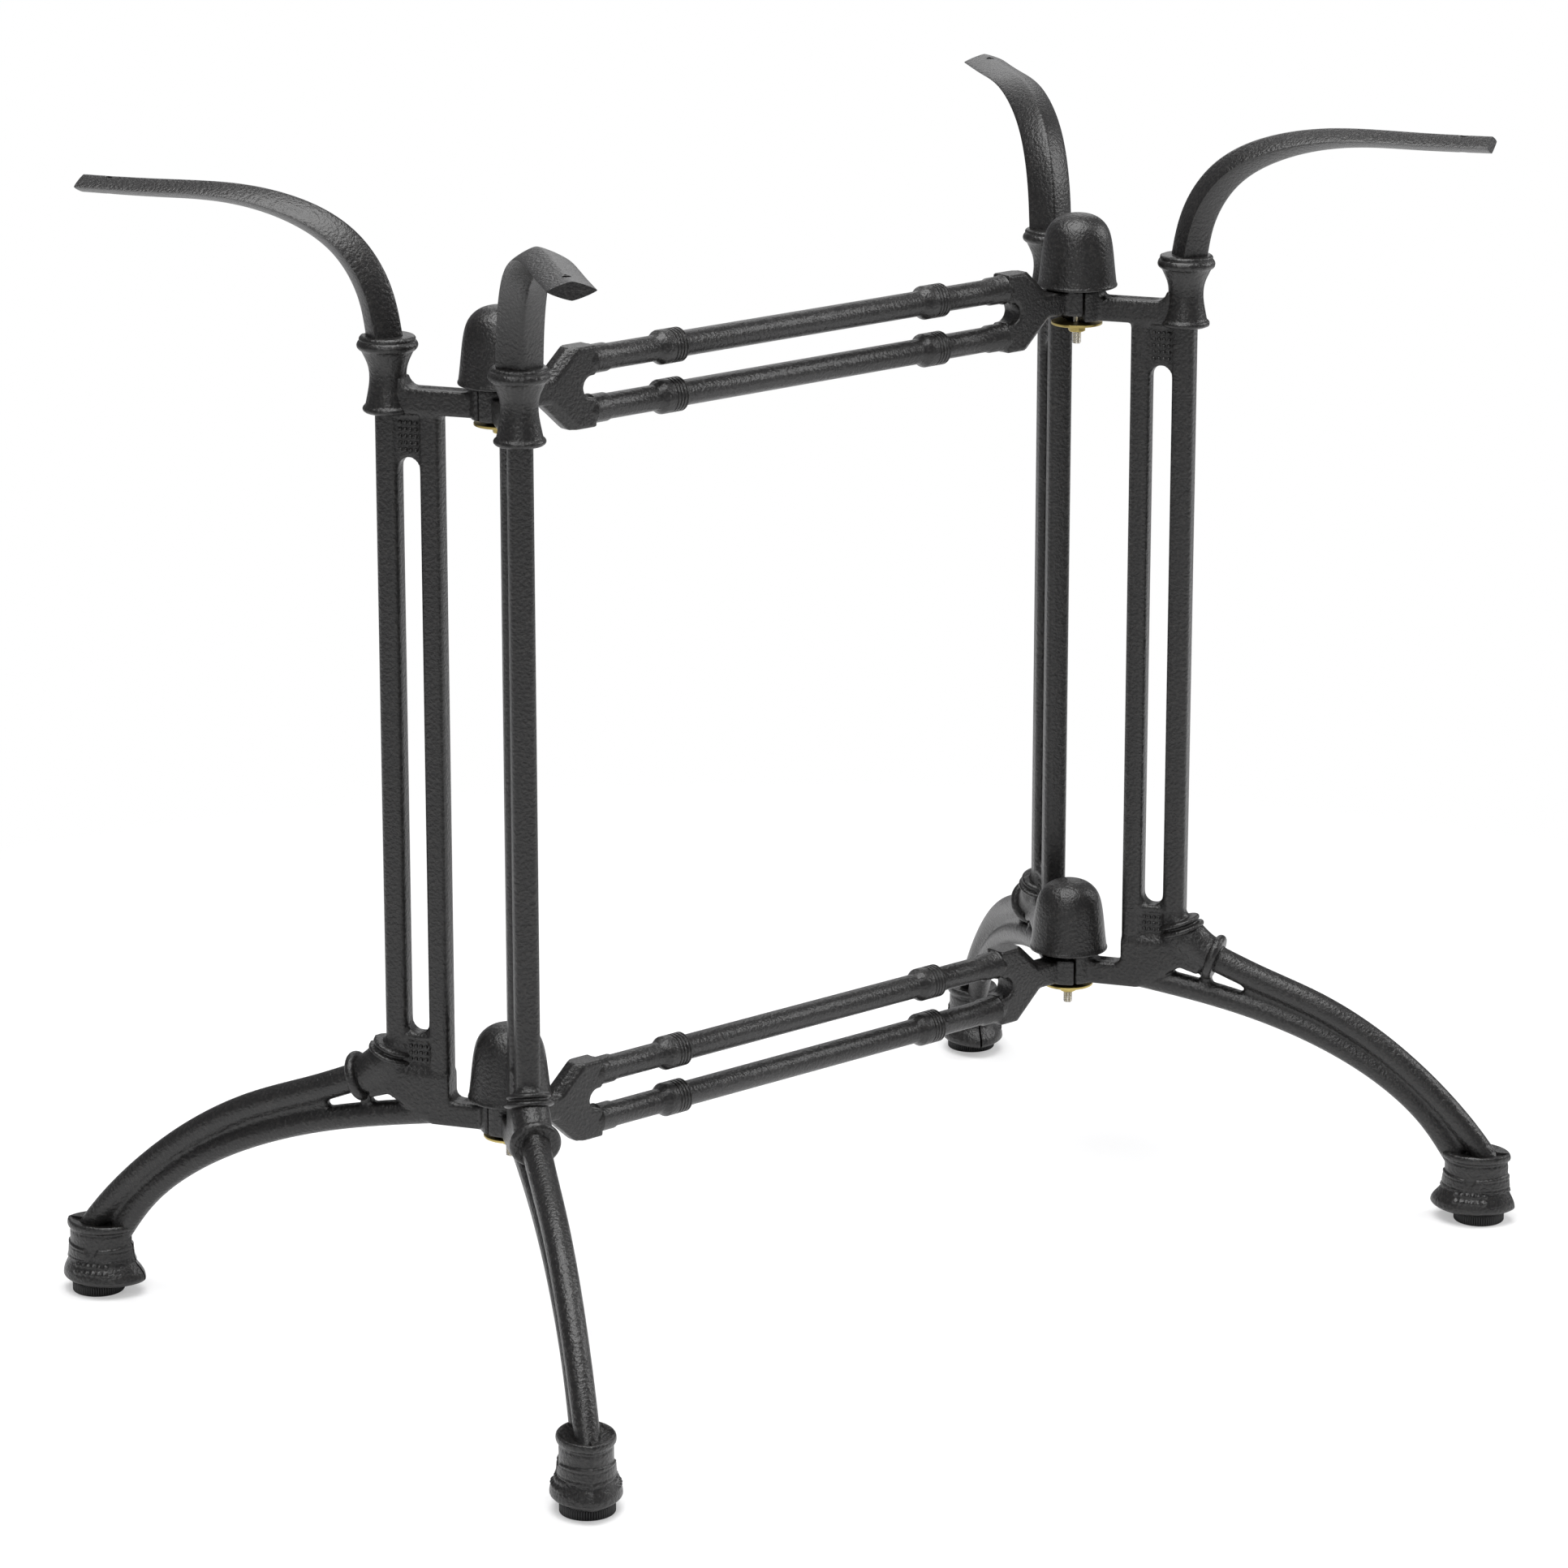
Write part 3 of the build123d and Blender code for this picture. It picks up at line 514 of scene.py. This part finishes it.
def bracketSolids():
    # plates from the hub ends to the uprights; the lower one runs up into the gusset under the neck
    b, half = bracket, hub["half"]
    side = b["width"] / 2
    outer = uprights["outer"]
    upper = [(b["start"], -half), (outer, -half), (outer, half), (b["start"], half)]
    lower = [(b["start"], -half), *b["gusset"], (b["start"], half)]
    solids = []
    for outline, z, end in zip((upper, lower), (highLevel, lowLevel), b["pocketEnds"]):
        plate = slab(np.array(outline) + (0, z), -side, side, b["edge"], upright)
        pocket = roundedBox(end - b["pocketStart"], 2 * b["pocketHalf"], b["pocketCorner"])
        cutter = slab(pocket + ((b["pocketStart"] + end) / 2, 0), z + half - b["pocketDepth"],
                      z + half + 5, b["pocketEdge"], level)
        solids.append(cutOut(plate, cutter))
    # hollow corner where the upper plate runs into the collar
    corner, top, radius = b["filletReach"], highLevel + half, b["filletRadius"]
    arc = np.linspace(0, np.pi / 2, 9)
    hollow = np.column_stack([corner - radius * (1 - np.cos(arc)), top + radius * (1 - np.sin(arc))])
    root = [(corner - radius, top - b["filletDrop"]), (corner + b["filletSink"], top - b["filletDrop"]),
            (corner + b["filletSink"], top + radius)]
    solids.append(slab(np.concatenate([root, hollow]), -side, side, b["filletEdge"], upright))
    for z in (highLevel, lowLevel):
        # hub end with the low pad that the washer meets
        solids.append(hubSector(hub["radius"], z - half, z + hubRise, hub["edge"]))
        solids.append(hubSector(hub["padRadius"], z - half - hub["padDepth"], z - half + 1, hub["padEdge"]))
    return solids


neck = dict(route=((72.8, 45.0), (74.0, 40.5), (77.4, 35.2), (86.0, 26.0), (100.5, 16.5)), steps=24,
            radii=((0, 7.6), (0.22, 10.6), (0.5, 12.4), (0.78, 11.8), (1, 12.0)),
            strutReach=95.6, strutLength=7.0, strutWidth=9.0, strutCorner=2.5, strutSpan=(-4, 6),
            strutEdge=0.3)
neckRing = dict(spot=(77.4, 36.0), lean=20.0, seam=0.4, around=120,
                profile=((12.1, -3.9), (14.4, -3.3), (15.3, -2.0), (14.7, -0.8), (12.2, 0.3),
                         (12.1, 1.2), (13.4, 2.0), (13.7, 3.1), (13.1, 4.1), (10.5, 4.9)))
knuckle = dict(spot=(100.5, 16.5), lean=72.0, radius=15.8, rounding=2.9, half=3.2, around=96)


def neckSolids():
    # swelling neck and the strut under it that meets the lower tube
    n = neck
    route = smoothLine(np.array(n["route"]) + (0, lowLevel), n["steps"])
    radius = np.interp(np.linspace(0, 1, n["steps"]), *zip(*n["radii"]))
    strut = roundedBox(n["strutLength"], n["strutWidth"], n["strutCorner"]) + (n["strutReach"], 0)
    foot, head = (lowLevel + z for z in n["strutSpan"])
    return [carry(roundShape(48), route, radius, radius), slab(strut, foot, head, n["strutEdge"], level)]


def neckRings():
    # the slanted double ring at the neck's head and the ring that the curved leg starts from
    r, k = neckRing, knuckle
    lean = math.radians(r["lean"])
    profile = np.concatenate([[(0, r["profile"][0][1])], smoothLine(r["profile"], 30),
                              [(0, r["profile"][-1][1])]])
    double = turned(profile, (r["spot"][0], 0, lowLevel + r["spot"][1]),
                    (-math.sin(lean), 0, math.cos(lean)), count=r["around"], seam=r["seam"])
    lean = math.radians(k["lean"])
    turn = np.linspace(-np.pi / 2, np.pi / 2, 13)
    rim = np.column_stack([k["radius"] - k["rounding"] * (1 - np.cos(turn)), k["half"] * np.sin(turn)])
    single = turned(np.concatenate([[(0, -k["half"])], rim, [(0, k["half"])]]),
                    (k["spot"][0], 0, lowLevel + k["spot"][1]),
                    (math.sin(lean), 0, -math.cos(lean)), count=k["around"])
    return [double, single]


curve = dict(upper=((100.5, 16.5), (130, 4.9), (170, -9.4), (210, -30.4), (250, -61.4), (280, -93.1),
                    (291.4, -108.1)),
             lower=((46, -0.2), (80, -5.4), (120, -13.3), (170, -28.9), (220, -54.9), (250, -81.1),
                    (269.2, -108.4)),
             upperRadii=(9.0, 7.7), lowerRadii=(8.1, 7.4), steps=80, webHalf=4.2, webEdge=0.5,
             webStride=6, webStart=(0.075, 0.33))


def curveSolids():
    # two tapering tubes that close in on each other, with a thin web in the groove between them
    c, solids, lines = curve, [], []
    for points, (start, end) in ((c["upper"], c["upperRadii"]), (c["lower"], c["lowerRadii"])):
        line = smoothLine(np.array(points) + (0, lowLevel), c["steps"])
        radius = np.linspace(start, end, c["steps"])
        solids.append(carry(roundShape(40), line, radius, radius))
        lines.append(line)
    upperStart, lowerStart = (int(share * (c["steps"] - 1)) for share in c["webStart"])
    stride = c["webStride"]
    outline = np.concatenate([lines[1][lowerStart::stride], lines[0][upperStart::stride][::-1]])
    solids.append(slab(outline, -c["webHalf"], c["webHalf"], c["webEdge"], upright))
    return solids


boot = dict(reach=279.5, bottom=7.6, top=47.5, length=57.0, width=42.8, waistLength=42.6,
            waistWidth=32.0, lean=1.9, rows=84, around=200, boreTop=29.4, soleEdge=3.2, soleInset=3.4,
            dishDepth=3.4,
            flare=((7.6, 0.97), (9, 1), (12.5, 1), (15.4, 0.84), (18.6, 0.5), (21.2, 0.26), (24, 0.11),
                   (28, 0.03), (34.7, 0), (47.5, 0.03)),
            rimMiddle=44.8, rimHalf=2.7, rimStand=1.5, heelStand=2.3, throatDrop=1.2, throatSpread=1.1,
            throatDepth=0.4,
            bandMiddle=27.4, bandHalf=4.2, bandSpread=1.8, bandStand=1.15, bandEase=0.7, bandGap=1.0,
            gapSpread=0.6, gapReach=1.3, gapEase=1.3, bandLine=2.7, lineDepth=0.3, lineSpread=0.45,
            studRows=(21.2, 17.0), studColumns=6, studPitch=3.9, studStart=-8.0, studStand=1.3,
            studRadius=1.35)


def bootRelief(x, z, share):
    # how far the boot's side stands out, in millimetres: rolled rim that grows toward the heel, throat,
    # two bands that end in a crossed recess, two rows of studs, and the sole's edge turned in
    b = boot
    stand = b["rimStand"] + b["heelStand"] * np.clip(-share, 0, 1) ** 1.5
    relief = stand * np.sqrt(np.clip(1 - ((z - b["rimMiddle"]) / b["rimHalf"]) ** 2, 0, 1))
    below = z - b["rimMiddle"] + b["rimHalf"] + b["throatDrop"]
    relief = relief - b["throatDepth"] * np.exp(-(below / b["throatSpread"]) ** 2)
    away = np.abs(z - b["bandMiddle"])
    bandHalf = b["bandHalf"] + b["bandSpread"] * np.abs(share)
    gap = b["bandGap"] + b["gapSpread"] * away
    ends = np.clip((np.abs(x - b["gapReach"]) - gap) / b["gapEase"], 0, 1)
    band = b["bandStand"] * np.clip((bandHalf - away) / b["bandEase"], 0, 1)
    line = b["lineDepth"] * np.exp(-((away - b["bandLine"]) / b["lineSpread"]) ** 2)
    relief = relief + (band - line) * ends
    for row in b["studRows"]:
        for column in range(b["studColumns"]):
            away = (x - b["studStart"] - column * b["studPitch"]) ** 2 + (z - row) ** 2
            relief = relief + b["studStand"] * np.exp(-(away / b["studRadius"] ** 2) ** 1.5)
    return relief - b["soleInset"] * np.clip(1 - (z - b["bottom"]) / b["soleEdge"], 0, 1) ** 2


def bootSolid():
    # rows of leaf-shaped rings: two equal arcs creased at heel and toe, flared at the foot, with relief
    # on the sides; the last rings shrink inward and sink, which dishes the top
    b = boot
    z = np.linspace(b["bottom"], b["top"], b["rows"])[:, None]
    flare = evened(np.interp(z[:, 0], *zip(*b["flare"])), 5)[:, None]
    half = (b["waistLength"] + flare * (b["length"] - b["waistLength"])) / 2
    belly = (b["waistWidth"] + flare * (b["width"] - b["waistWidth"])) / 2
    radius = (half ** 2 + belly ** 2) / (2 * belly)
    around = np.linspace(0, 2, b["around"], endpoint=False)[None, :]
    share = 1 - 2 * (around % 1)                      # 1 at the toe, -1 at the heel, on either side
    side = np.where(around < 1, 1.0, -1.0)
    angle = np.arcsin(half / radius) * share
    x = radius * np.sin(angle) + b["lean"] * (1 - flare)
    y = side * (radius * np.cos(angle) - radius + belly)
    relief = bootRelief(x, z, share)
    fade = 1 - share ** 8                             # the creases keep their place across the leg
    x = x + relief * np.sin(angle)
    y = y + relief * side * np.cos(angle) * fade
    rings = np.stack([x, y, np.broadcast_to(z, x.shape)], axis=-1)
    shrink = np.linspace(1, 0.2, 9)[1:, None, None]
    dish = rings[-1:] * np.array([1, 1, 0]) * shrink
    dish[..., 2:] = b["top"] - b["dishDepth"] * np.sqrt(1 - shrink)
    rings = np.concatenate([rings, dish]) + (b["reach"], 0, 0)
    bore = turned([(0, -5), (stemBore, -5), (stemBore, b["boreTop"]), (0, b["boreTop"])],
                  (glideReach, 0, 0), count=32)
    return cutOut(stack(rings), bore)


casting = dict(legGrain=1.48, forkGrain=1.05, rounds=1)

legBody = cast(uprightSolids() + bracketSolids() + neckSolids() + curveSolids(),
               casting["legGrain"], casting["rounds"])
legShape = joined([legBody, armSolid(), collarSolid(), bootSolid()] + neckRings() + panelStuds())
for corner, (hubX, turn) in legPlaces.items():
    addPiece(f"legCasting_{corner}", legShape, f"leg_{corner}", "base", (hubX, 0, 0), 62, turn)
print("legs ready", len(legBody[1]), "faces cast and", len(legShape[1]), "in all")


# Stretchers: turned bars with sleeves between two cast forks

fork = dict(start=29.0, shoulder=48.5, end=68.0, halfHeight=25.2, stem=7.5, stemCorner=1.8, edge=1.6,
            bevel=4.6, notchRadius=6.9, notchDepth=10.2, lipAlong=1.6, lipAcross=1.2, barDrop=1.0,
            tang=17.0)
bar = dict(pitch=30.8, around=48, sleeveReach=129.8, sleeveLength=23.0,
           boss=((-5.0, 0.0), (-5.0, 8.0), (0.0, 9.7), (1.2, 8.9), (11.5, 8.9), (14.0, 8.0)),
           cone=((0.0, 8.0), (0.6, 8.1), (4.5, 10.6), (5.3, 10.8)),
           grooves=(11.65, 14.15, 16.65, 19.15),
           groove=((-0.6, 10.8), (-0.35, 10.16), (0.0, 10.0), (0.35, 10.16), (0.6, 10.8)),
           lip=((20.4, 10.8), (22.5, 8.4), (23.0, 8.0)))


def forkSolids(padHeight):
    # fork plate with a round notch between its arms, stem and hub end, drawn for the hub at the origin,
    # arms to +X
    f, side = fork, bracket["width"] / 2
    arc = np.linspace(1.5 * np.pi, 0.5 * np.pi, 15)
    bottom = f["end"] - f["notchDepth"] + f["notchRadius"]
    notch = np.column_stack([bottom + f["notchRadius"] * np.cos(arc), f["notchRadius"] * np.sin(arc)])
    above = np.array([(f["end"] - f["lipAlong"], f["notchRadius"]),
                      (f["end"], f["notchRadius"] + f["lipAcross"]), (f["end"], f["halfHeight"]),
                      (f["shoulder"], f["halfHeight"]), (f["start"], f["stem"])])
    plate = slab(np.concatenate([above[::-1] * (1, -1), notch, above]), -side, side, f["edge"], upright)
    run, rise = f["shoulder"] - f["start"], f["halfHeight"] - f["stem"]
    length, deep = math.hypot(run, rise), f["bevel"] + 1
    for way in (-1, 1):
        # wide bevel along each slanted edge, on both sides, by a three-sided cutter laid along the edge
        along, out = np.array([run, way * rise]) / length, np.array([-rise, way * run]) / length
        base = np.array([f["start"], way * f["stem"]])
        for face in (-1, 1):
            ends = []
            for at in (-6.0, length + 3.0):
                ring = [(*(base + along * at + out * depth), height)
                        for depth, height in ((1.0, side - deep), (1.0, side + 1), (-deep, side + 1))]
                ends.append([(x, face * height, z) for x, z, height in ring])
            plate = cutOut(plate, stack(np.array(ends)))
    stem = roundedBox(bracket["width"], 2 * f["stem"], f["stemCorner"])
    stemRings = [np.column_stack([np.full(len(stem), x), stem[:, 0], stem[:, 1] + f["barDrop"]])
                 for x in (bracket["start"], f["shoulder"])]
    low, high = f["barDrop"] - f["tang"] / 2, f["barDrop"] + f["tang"] / 2
    solids = [plate, stack(np.stack(stemRings)), hubSector(hub["radius"], low, high, hub["edge"])]
    if padHeight > 0:
        solids.append(hubSector(hub["padRadius"], low - padHeight, low + 1, hub["padEdge"]))
    return solids


def barProfile():
    # (radius, x) along a bar from left to right; the right boss mirrors the left one, while both
    # sleeves face the same way
    end = hubReach - fork["end"]
    boss = np.array(bar["boss"])
    grooves = [np.array(bar["groove"]) + (x, 0) for x in bar["grooves"]]
    sleeve = np.concatenate([bar["cone"], *grooves, bar["lip"]])
    parts = [boss - (end, 0)]
    for way in (-1, 1):
        left = way * (hubReach - bar["sleeveReach"]) - bar["sleeveLength"] / 2
        parts.append(sleeve + (left, 0))
    parts.append((boss * (-1, 1) + (end, 0))[::-1])
    return np.concatenate(parts)[:, ::-1]


def stretcherSolid(padHeight):
    # both forks fused on the grid, the bars laid in crisp
    points, faces = cast(forkSolids(padHeight), casting["forkGrain"], casting["rounds"])
    solids = []
    for way in (-1, 1):
        flip = np.array([-way, 1, 1])
        ordered = faces if way == -1 else [polygon[::-1] for polygon in faces]
        solids.append((points * flip + (way * hubReach, 0, 0), ordered))
    for z in (-bar["pitch"] / 2, bar["pitch"] / 2):
        solids.append(turned(barProfile(), (0, 0, z), (1, 0, 0), count=bar["around"]))
    return joined(solids)


for tier, middle, pad in (("upper", highLevel + hubRise - fork["tang"] / 2, 0.0),
                          ("lower", lowLevel - hub["half"] + fork["tang"] / 2, hub["padDepth"])):
    addPiece(f"stretcherCasting_{tier}", stretcherSolid(pad), f"stretcher_{tier}", "base",
             (0, 0, middle - fork["barDrop"]), 50)
print("stretchers ready")


# Cap nuts, studs, washers and nuts

cap = dict(radius=25.4, height=48.0, wall=3.2, boss=11.0, bore=3.05, boreDepth=26.0,
           lip=((24.8, 0.0), (25.9, 0.5), (26.0, 1.5), (25.5, 2.5)),
           dome=((1, 0.06), (0.965, 0.213), (0.93, 0.387), (0.87, 0.62), (0.74, 0.82), (0.46, 0.95),
                 (0, 1)))


def capSolid():
    # hollow dome on a rolled lip, with a bored boss inside
    c, inside = cap, cap["radius"] - cap["wall"]
    outer = smoothLine(np.array(c["dome"]) * (c["radius"], c["height"]), 40)
    outer[-1] = (0, c["height"])
    inner = smoothLine(np.array(c["dome"]) * (inside, c["height"] - c["wall"]), 40)
    inner = inner[inner[:, 0] > c["boss"] + 0.5]
    lip = smoothLine(c["lip"], 8)
    boss = [(c["boss"], inner[-1, 1]), (c["boss"], 0), (c["bore"], 0), (c["bore"], c["boreDepth"]),
            (0, c["boreDepth"])]
    profile = np.concatenate([outer[::-1][:-1], lip[::-1], [(inside, 0)], inner, boss])
    return turned(profile, (0, 0, 0), count=96)


fastener = dict(radius=3.0, pitch=1.0, threadDepth=0.5, tail=8.0, grip=24.0, blunt=0.6, bluntShare=0.18,
                flats=10.0, nutHeight=5.0, coneInset=0.25, coneSlope=1.6, nutBore=3.05,
                nutRows=(0, 0.12, 0.25, 0.45, 0.7, 4.3, 4.55, 4.75, 4.88, 5.0),
                washerRadius=16.7, washerBore=3.3, washerThickness=1.6, washerEase=0.25)
washerTop = -hub["half"] - hub["padDepth"]
nutTop = washerTop - fastener["washerThickness"]
nutLow = nutTop - fastener["nutHeight"]
studLow = nutLow - fastener["tail"]


def studSolid():
    # threaded rod: the radius falls and rises once a pitch along a helix, on the part below the hub,
    # and its end is blunt
    f = fastener
    z = np.concatenate([np.arange(studLow, nutTop + 0.01, f["pitch"] / 8), [hubRise + f["grip"]]])
    z = z[:, None]
    angle = np.linspace(0, 2 * np.pi, 32, endpoint=False)[None, :]
    phase = (z / f["pitch"] - angle / (2 * np.pi)) % 1
    depth = f["threadDepth"] * np.clip(1.25 * np.abs(2 * phase - 1) - 0.15, 0, 1)
    whole = 1 - f["bluntShare"] * (1 - np.clip((z - studLow) / f["blunt"], 0, 1))
    return stack(ringsOf((f["radius"] - depth) * np.where(z > nutTop, 1, whole), angle, z))


def nutSolid():
    # hexagon prism whose corners are cut by a cone above and below, with its bore left open: the first
    # and the last ring of the pile are the same and merge
    f = fastener
    angle = np.linspace(0, 2 * np.pi, 96, endpoint=False)[None, :]
    hexagon = f["flats"] / 2 / np.cos((angle % (np.pi / 3)) - np.pi / 6)
    z = np.array(f["nutRows"])[:, None]
    cone = f["flats"] / 2 - f["coneInset"] + f["coneSlope"] * np.minimum(z, f["nutHeight"] - z)
    radius = np.minimum(hexagon, cone)
    bore = np.full_like(radius[:1], f["nutBore"])
    radius = np.concatenate([bore, radius, bore, bore])
    height = nutLow + np.concatenate([[[0]], z, [[f["nutHeight"]]], [[0]]])
    points, faces = stack(ringsOf(radius, angle, height))
    return points, faces[:-2]


def washerSolid():
    # flat ring with eased edges, closed in the same way
    f, low, high = fastener, nutTop, washerTop
    bore, rim, ease = f["washerBore"], f["washerRadius"], f["washerEase"]
    profile = [(bore, low), (rim - ease, low), (rim, low + ease), (rim, high - ease), (rim - ease, high),
               (bore, high), (bore, low)]
    points, faces = turned(profile, (0, 0, 0), count=96)
    return points, faces[:-2]


capShape, studShape, nutShape, washerShape = capSolid(), studSolid(), nutSolid(), washerSolid()
for tier, z in (("upper", highLevel), ("lower", lowLevel)):
    for side, hubX in (("left", -hubReach), ("right", hubReach)):
        where, spot = f"{tier}_{side}", (hubX, 0, z)
        addPiece(f"capNut_{where}", capShape, f"cap_{where}", "base", (hubX, 0, z + hubRise), 50)
        addPiece(f"threadedStud_{where}", studShape, f"stud_{where}", "base", spot, 50)
        addPiece(f"hexNut_{where}", nutShape, f"nut_{where}", "base", spot, 25)
        addPiece(f"flatWasher_{where}", washerShape, f"washer_{where}", "base", spot, 30)
print("caps and fasteners ready")


# Levelling glides with fine ribs

glide = dict(radius=16.6, height=7.3, ribs=66, ribDepth=0.8, seat=2.4,
             side=((0, 1.3, 0), (0.35, 0.45, 0.2), (0.9, 0, 1), (5.9, 0, 1), (6.3, 0.2, 0.6),
                   (6.9, 0.55, 0), (7.3, 1.1, 0)))


def glideSolid():
    # disc with the socket for its stem; each row of its side is a height, an inset and a share of the
    # ribs' depth, and a rib's depth is (0.5 - 0.5 cos(ribs * angle))^2 of the whole
    g = glide
    angle = np.linspace(0, 2 * np.pi, g["ribs"] * 6, endpoint=False)[None, :]
    rib = g["ribDepth"] * (0.5 - 0.5 * np.cos(g["ribs"] * angle)) ** 2
    z, inset, share = np.split(np.array(g["side"]), 3, axis=1)
    radius = g["radius"] - inset - share * rib
    socket = np.full_like(radius[:1], stemBore)
    radius = np.concatenate([radius, socket, socket, 0 * socket])
    return stack(ringsOf(radius, angle, np.concatenate([z, [[g["height"]], [g["seat"]], [g["seat"]]]])))


glideShape = glideSolid()
for corner, (hubX, turn) in legPlaces.items():
    way = math.radians(turn)
    spot = (hubX + glideReach * math.cos(way), glideReach * math.sin(way), 0)
    addPiece(f"ribbedGlide_{corner}", glideShape, f"glide_{corner}", f"foot_{corner}", spot, 40, turn)
print("glides ready")


# Studio: white floor and backdrop that stay white to the camera, soft light from above
studio = dict(worldStrength=0.27, paper="#f6f6f6", tint="#fbfbff", white="#ffffff", floorHalf=8.0,
              nearLift=0.35, fadeStart=0.55, fadeEnd=1.15)
lamps = dict(
    topLamp=dict(place=(-0.35, -0.2, 3.0), target=(0, 0, 0.3), size=2.6, power=110.0),
    keyLamp=dict(place=(-2.5, -1.8, 2.3), target=(0, 0, 0.4), size=1.2, power=26.0),
    fillLamp=dict(place=(2.6, -1.3, 1.8), target=(0.2, 0, 0.4), size=1.6, power=38.0),
    backLamp=dict(place=(2.2, 2.4, 2.0), target=(0, 0, 0.4), size=2.2, power=15.0),
)


def addFloor():
    # matt white paper; for the camera alone it is lifted toward plain white, wholly so away from the
    # object, so the shadow stays near it
    half = studio["floorHalf"]
    corners = [(-half, -half, 0), (half, -half, 0), (half, half, 0), (-half, half, 0)]
    mesh = bpy.data.meshes.new("floor")
    mesh.from_pydata(corners, [], [(0, 1, 2, 3)])
    material, tree = newMaterial("studioPaper")
    paper = addNode(tree, "ShaderNodeBsdfPrincipled", Roughness=0.9)
    paper.inputs["Base Color"].default_value = linear(studio["paper"])
    white = addNode(tree, "ShaderNodeEmission", Strength=1.0)
    white.inputs["Color"].default_value = linear(studio["white"])
    place = addNode(tree, "ShaderNodeTexCoord").outputs["Object"]
    away = addNode(tree, "ShaderNodeVectorMath", {0: place}, operation="LENGTH")
    lift = addNode(tree, "ShaderNodeMapRange", {"Value": away.outputs["Value"]},
                   From_Min=studio["fadeStart"], From_Max=studio["fadeEnd"],
                   To_Min=studio["nearLift"], To_Max=1.0)
    path = addNode(tree, "ShaderNodeLightPath")
    share = addNode(tree, "ShaderNodeMath",
                    {0: lift.outputs["Result"], 1: path.outputs["Is Camera Ray"]}, operation="MULTIPLY")
    mixed = addNode(tree, "ShaderNodeMixShader", {0: share.outputs["Value"], 1: paper.outputs["BSDF"],
                                                  2: white.outputs["Emission"]})
    addNode(tree, "ShaderNodeOutputMaterial", {"Surface": mixed.outputs["Shader"]})
    mesh.materials.append(material)
    floor = bpy.data.objects.new("floor", mesh)
    bpy.context.scene.collection.objects.link(floor)


def addLamp(name, place, target, size, power):
    lamp = bpy.data.lights.new(name, "AREA")
    lamp.shape = "DISK"
    lamp.size = size
    lamp.energy = power
    obj = bpy.data.objects.new(name, lamp)
    obj.location = place
    obj.rotation_euler = (Vector(target) - Vector(place)).to_track_quat("-Z", "Y").to_euler()
    bpy.context.scene.collection.objects.link(obj)


def addSky():
    # soft even sky for the light and for reflections; the camera alone sees plain white instead
    world = bpy.data.worlds.new("studioWorld")
    bpy.context.scene.world = world
    world.use_nodes = True
    tree = world.node_tree
    tree.nodes.clear()
    soft = addNode(tree, "ShaderNodeBackground", Strength=studio["worldStrength"])
    soft.inputs["Color"].default_value = linear(studio["tint"])
    white = addNode(tree, "ShaderNodeBackground", Strength=1.0)
    white.inputs["Color"].default_value = linear(studio["white"])
    path = addNode(tree, "ShaderNodeLightPath")
    pick = addNode(tree, "ShaderNodeMixShader",
                   {0: path.outputs["Is Camera Ray"], 1: soft.outputs["Background"],
                    2: white.outputs["Background"]})
    addNode(tree, "ShaderNodeOutputWorld", {"Surface": pick.outputs["Shader"]})


addFloor()
addSky()
for name, lamp in lamps.items():
    addLamp(name, **lamp)


# Camera at the photograph's place: a long lens, a little above the arms, from the front left
camera = dict(place=(-2.4064, -2.7288, 1.3230), yaw=41.242, pitch=-15.464, lens=136.24, sensor=36.0,
              reach=50.0)


def addCamera():
    yaw, pitch = math.radians(camera["yaw"]), math.radians(camera["pitch"])
    look = Vector((math.cos(pitch) * math.sin(yaw), math.cos(pitch) * math.cos(yaw), math.sin(pitch)))
    data = bpy.data.cameras.new("camera")
    data.lens = camera["lens"]
    data.sensor_width = camera["sensor"]
    data.clip_end = camera["reach"]
    obj = bpy.data.objects.new("camera", data)
    obj.location = camera["place"]
    obj.rotation_euler = look.to_track_quat("-Z", "Y").to_euler()
    bpy.context.scene.collection.objects.link(obj)
    bpy.context.scene.camera = obj


addCamera()
bpy.context.scene.view_settings.view_transform = "Standard"
print("studio and camera ready")
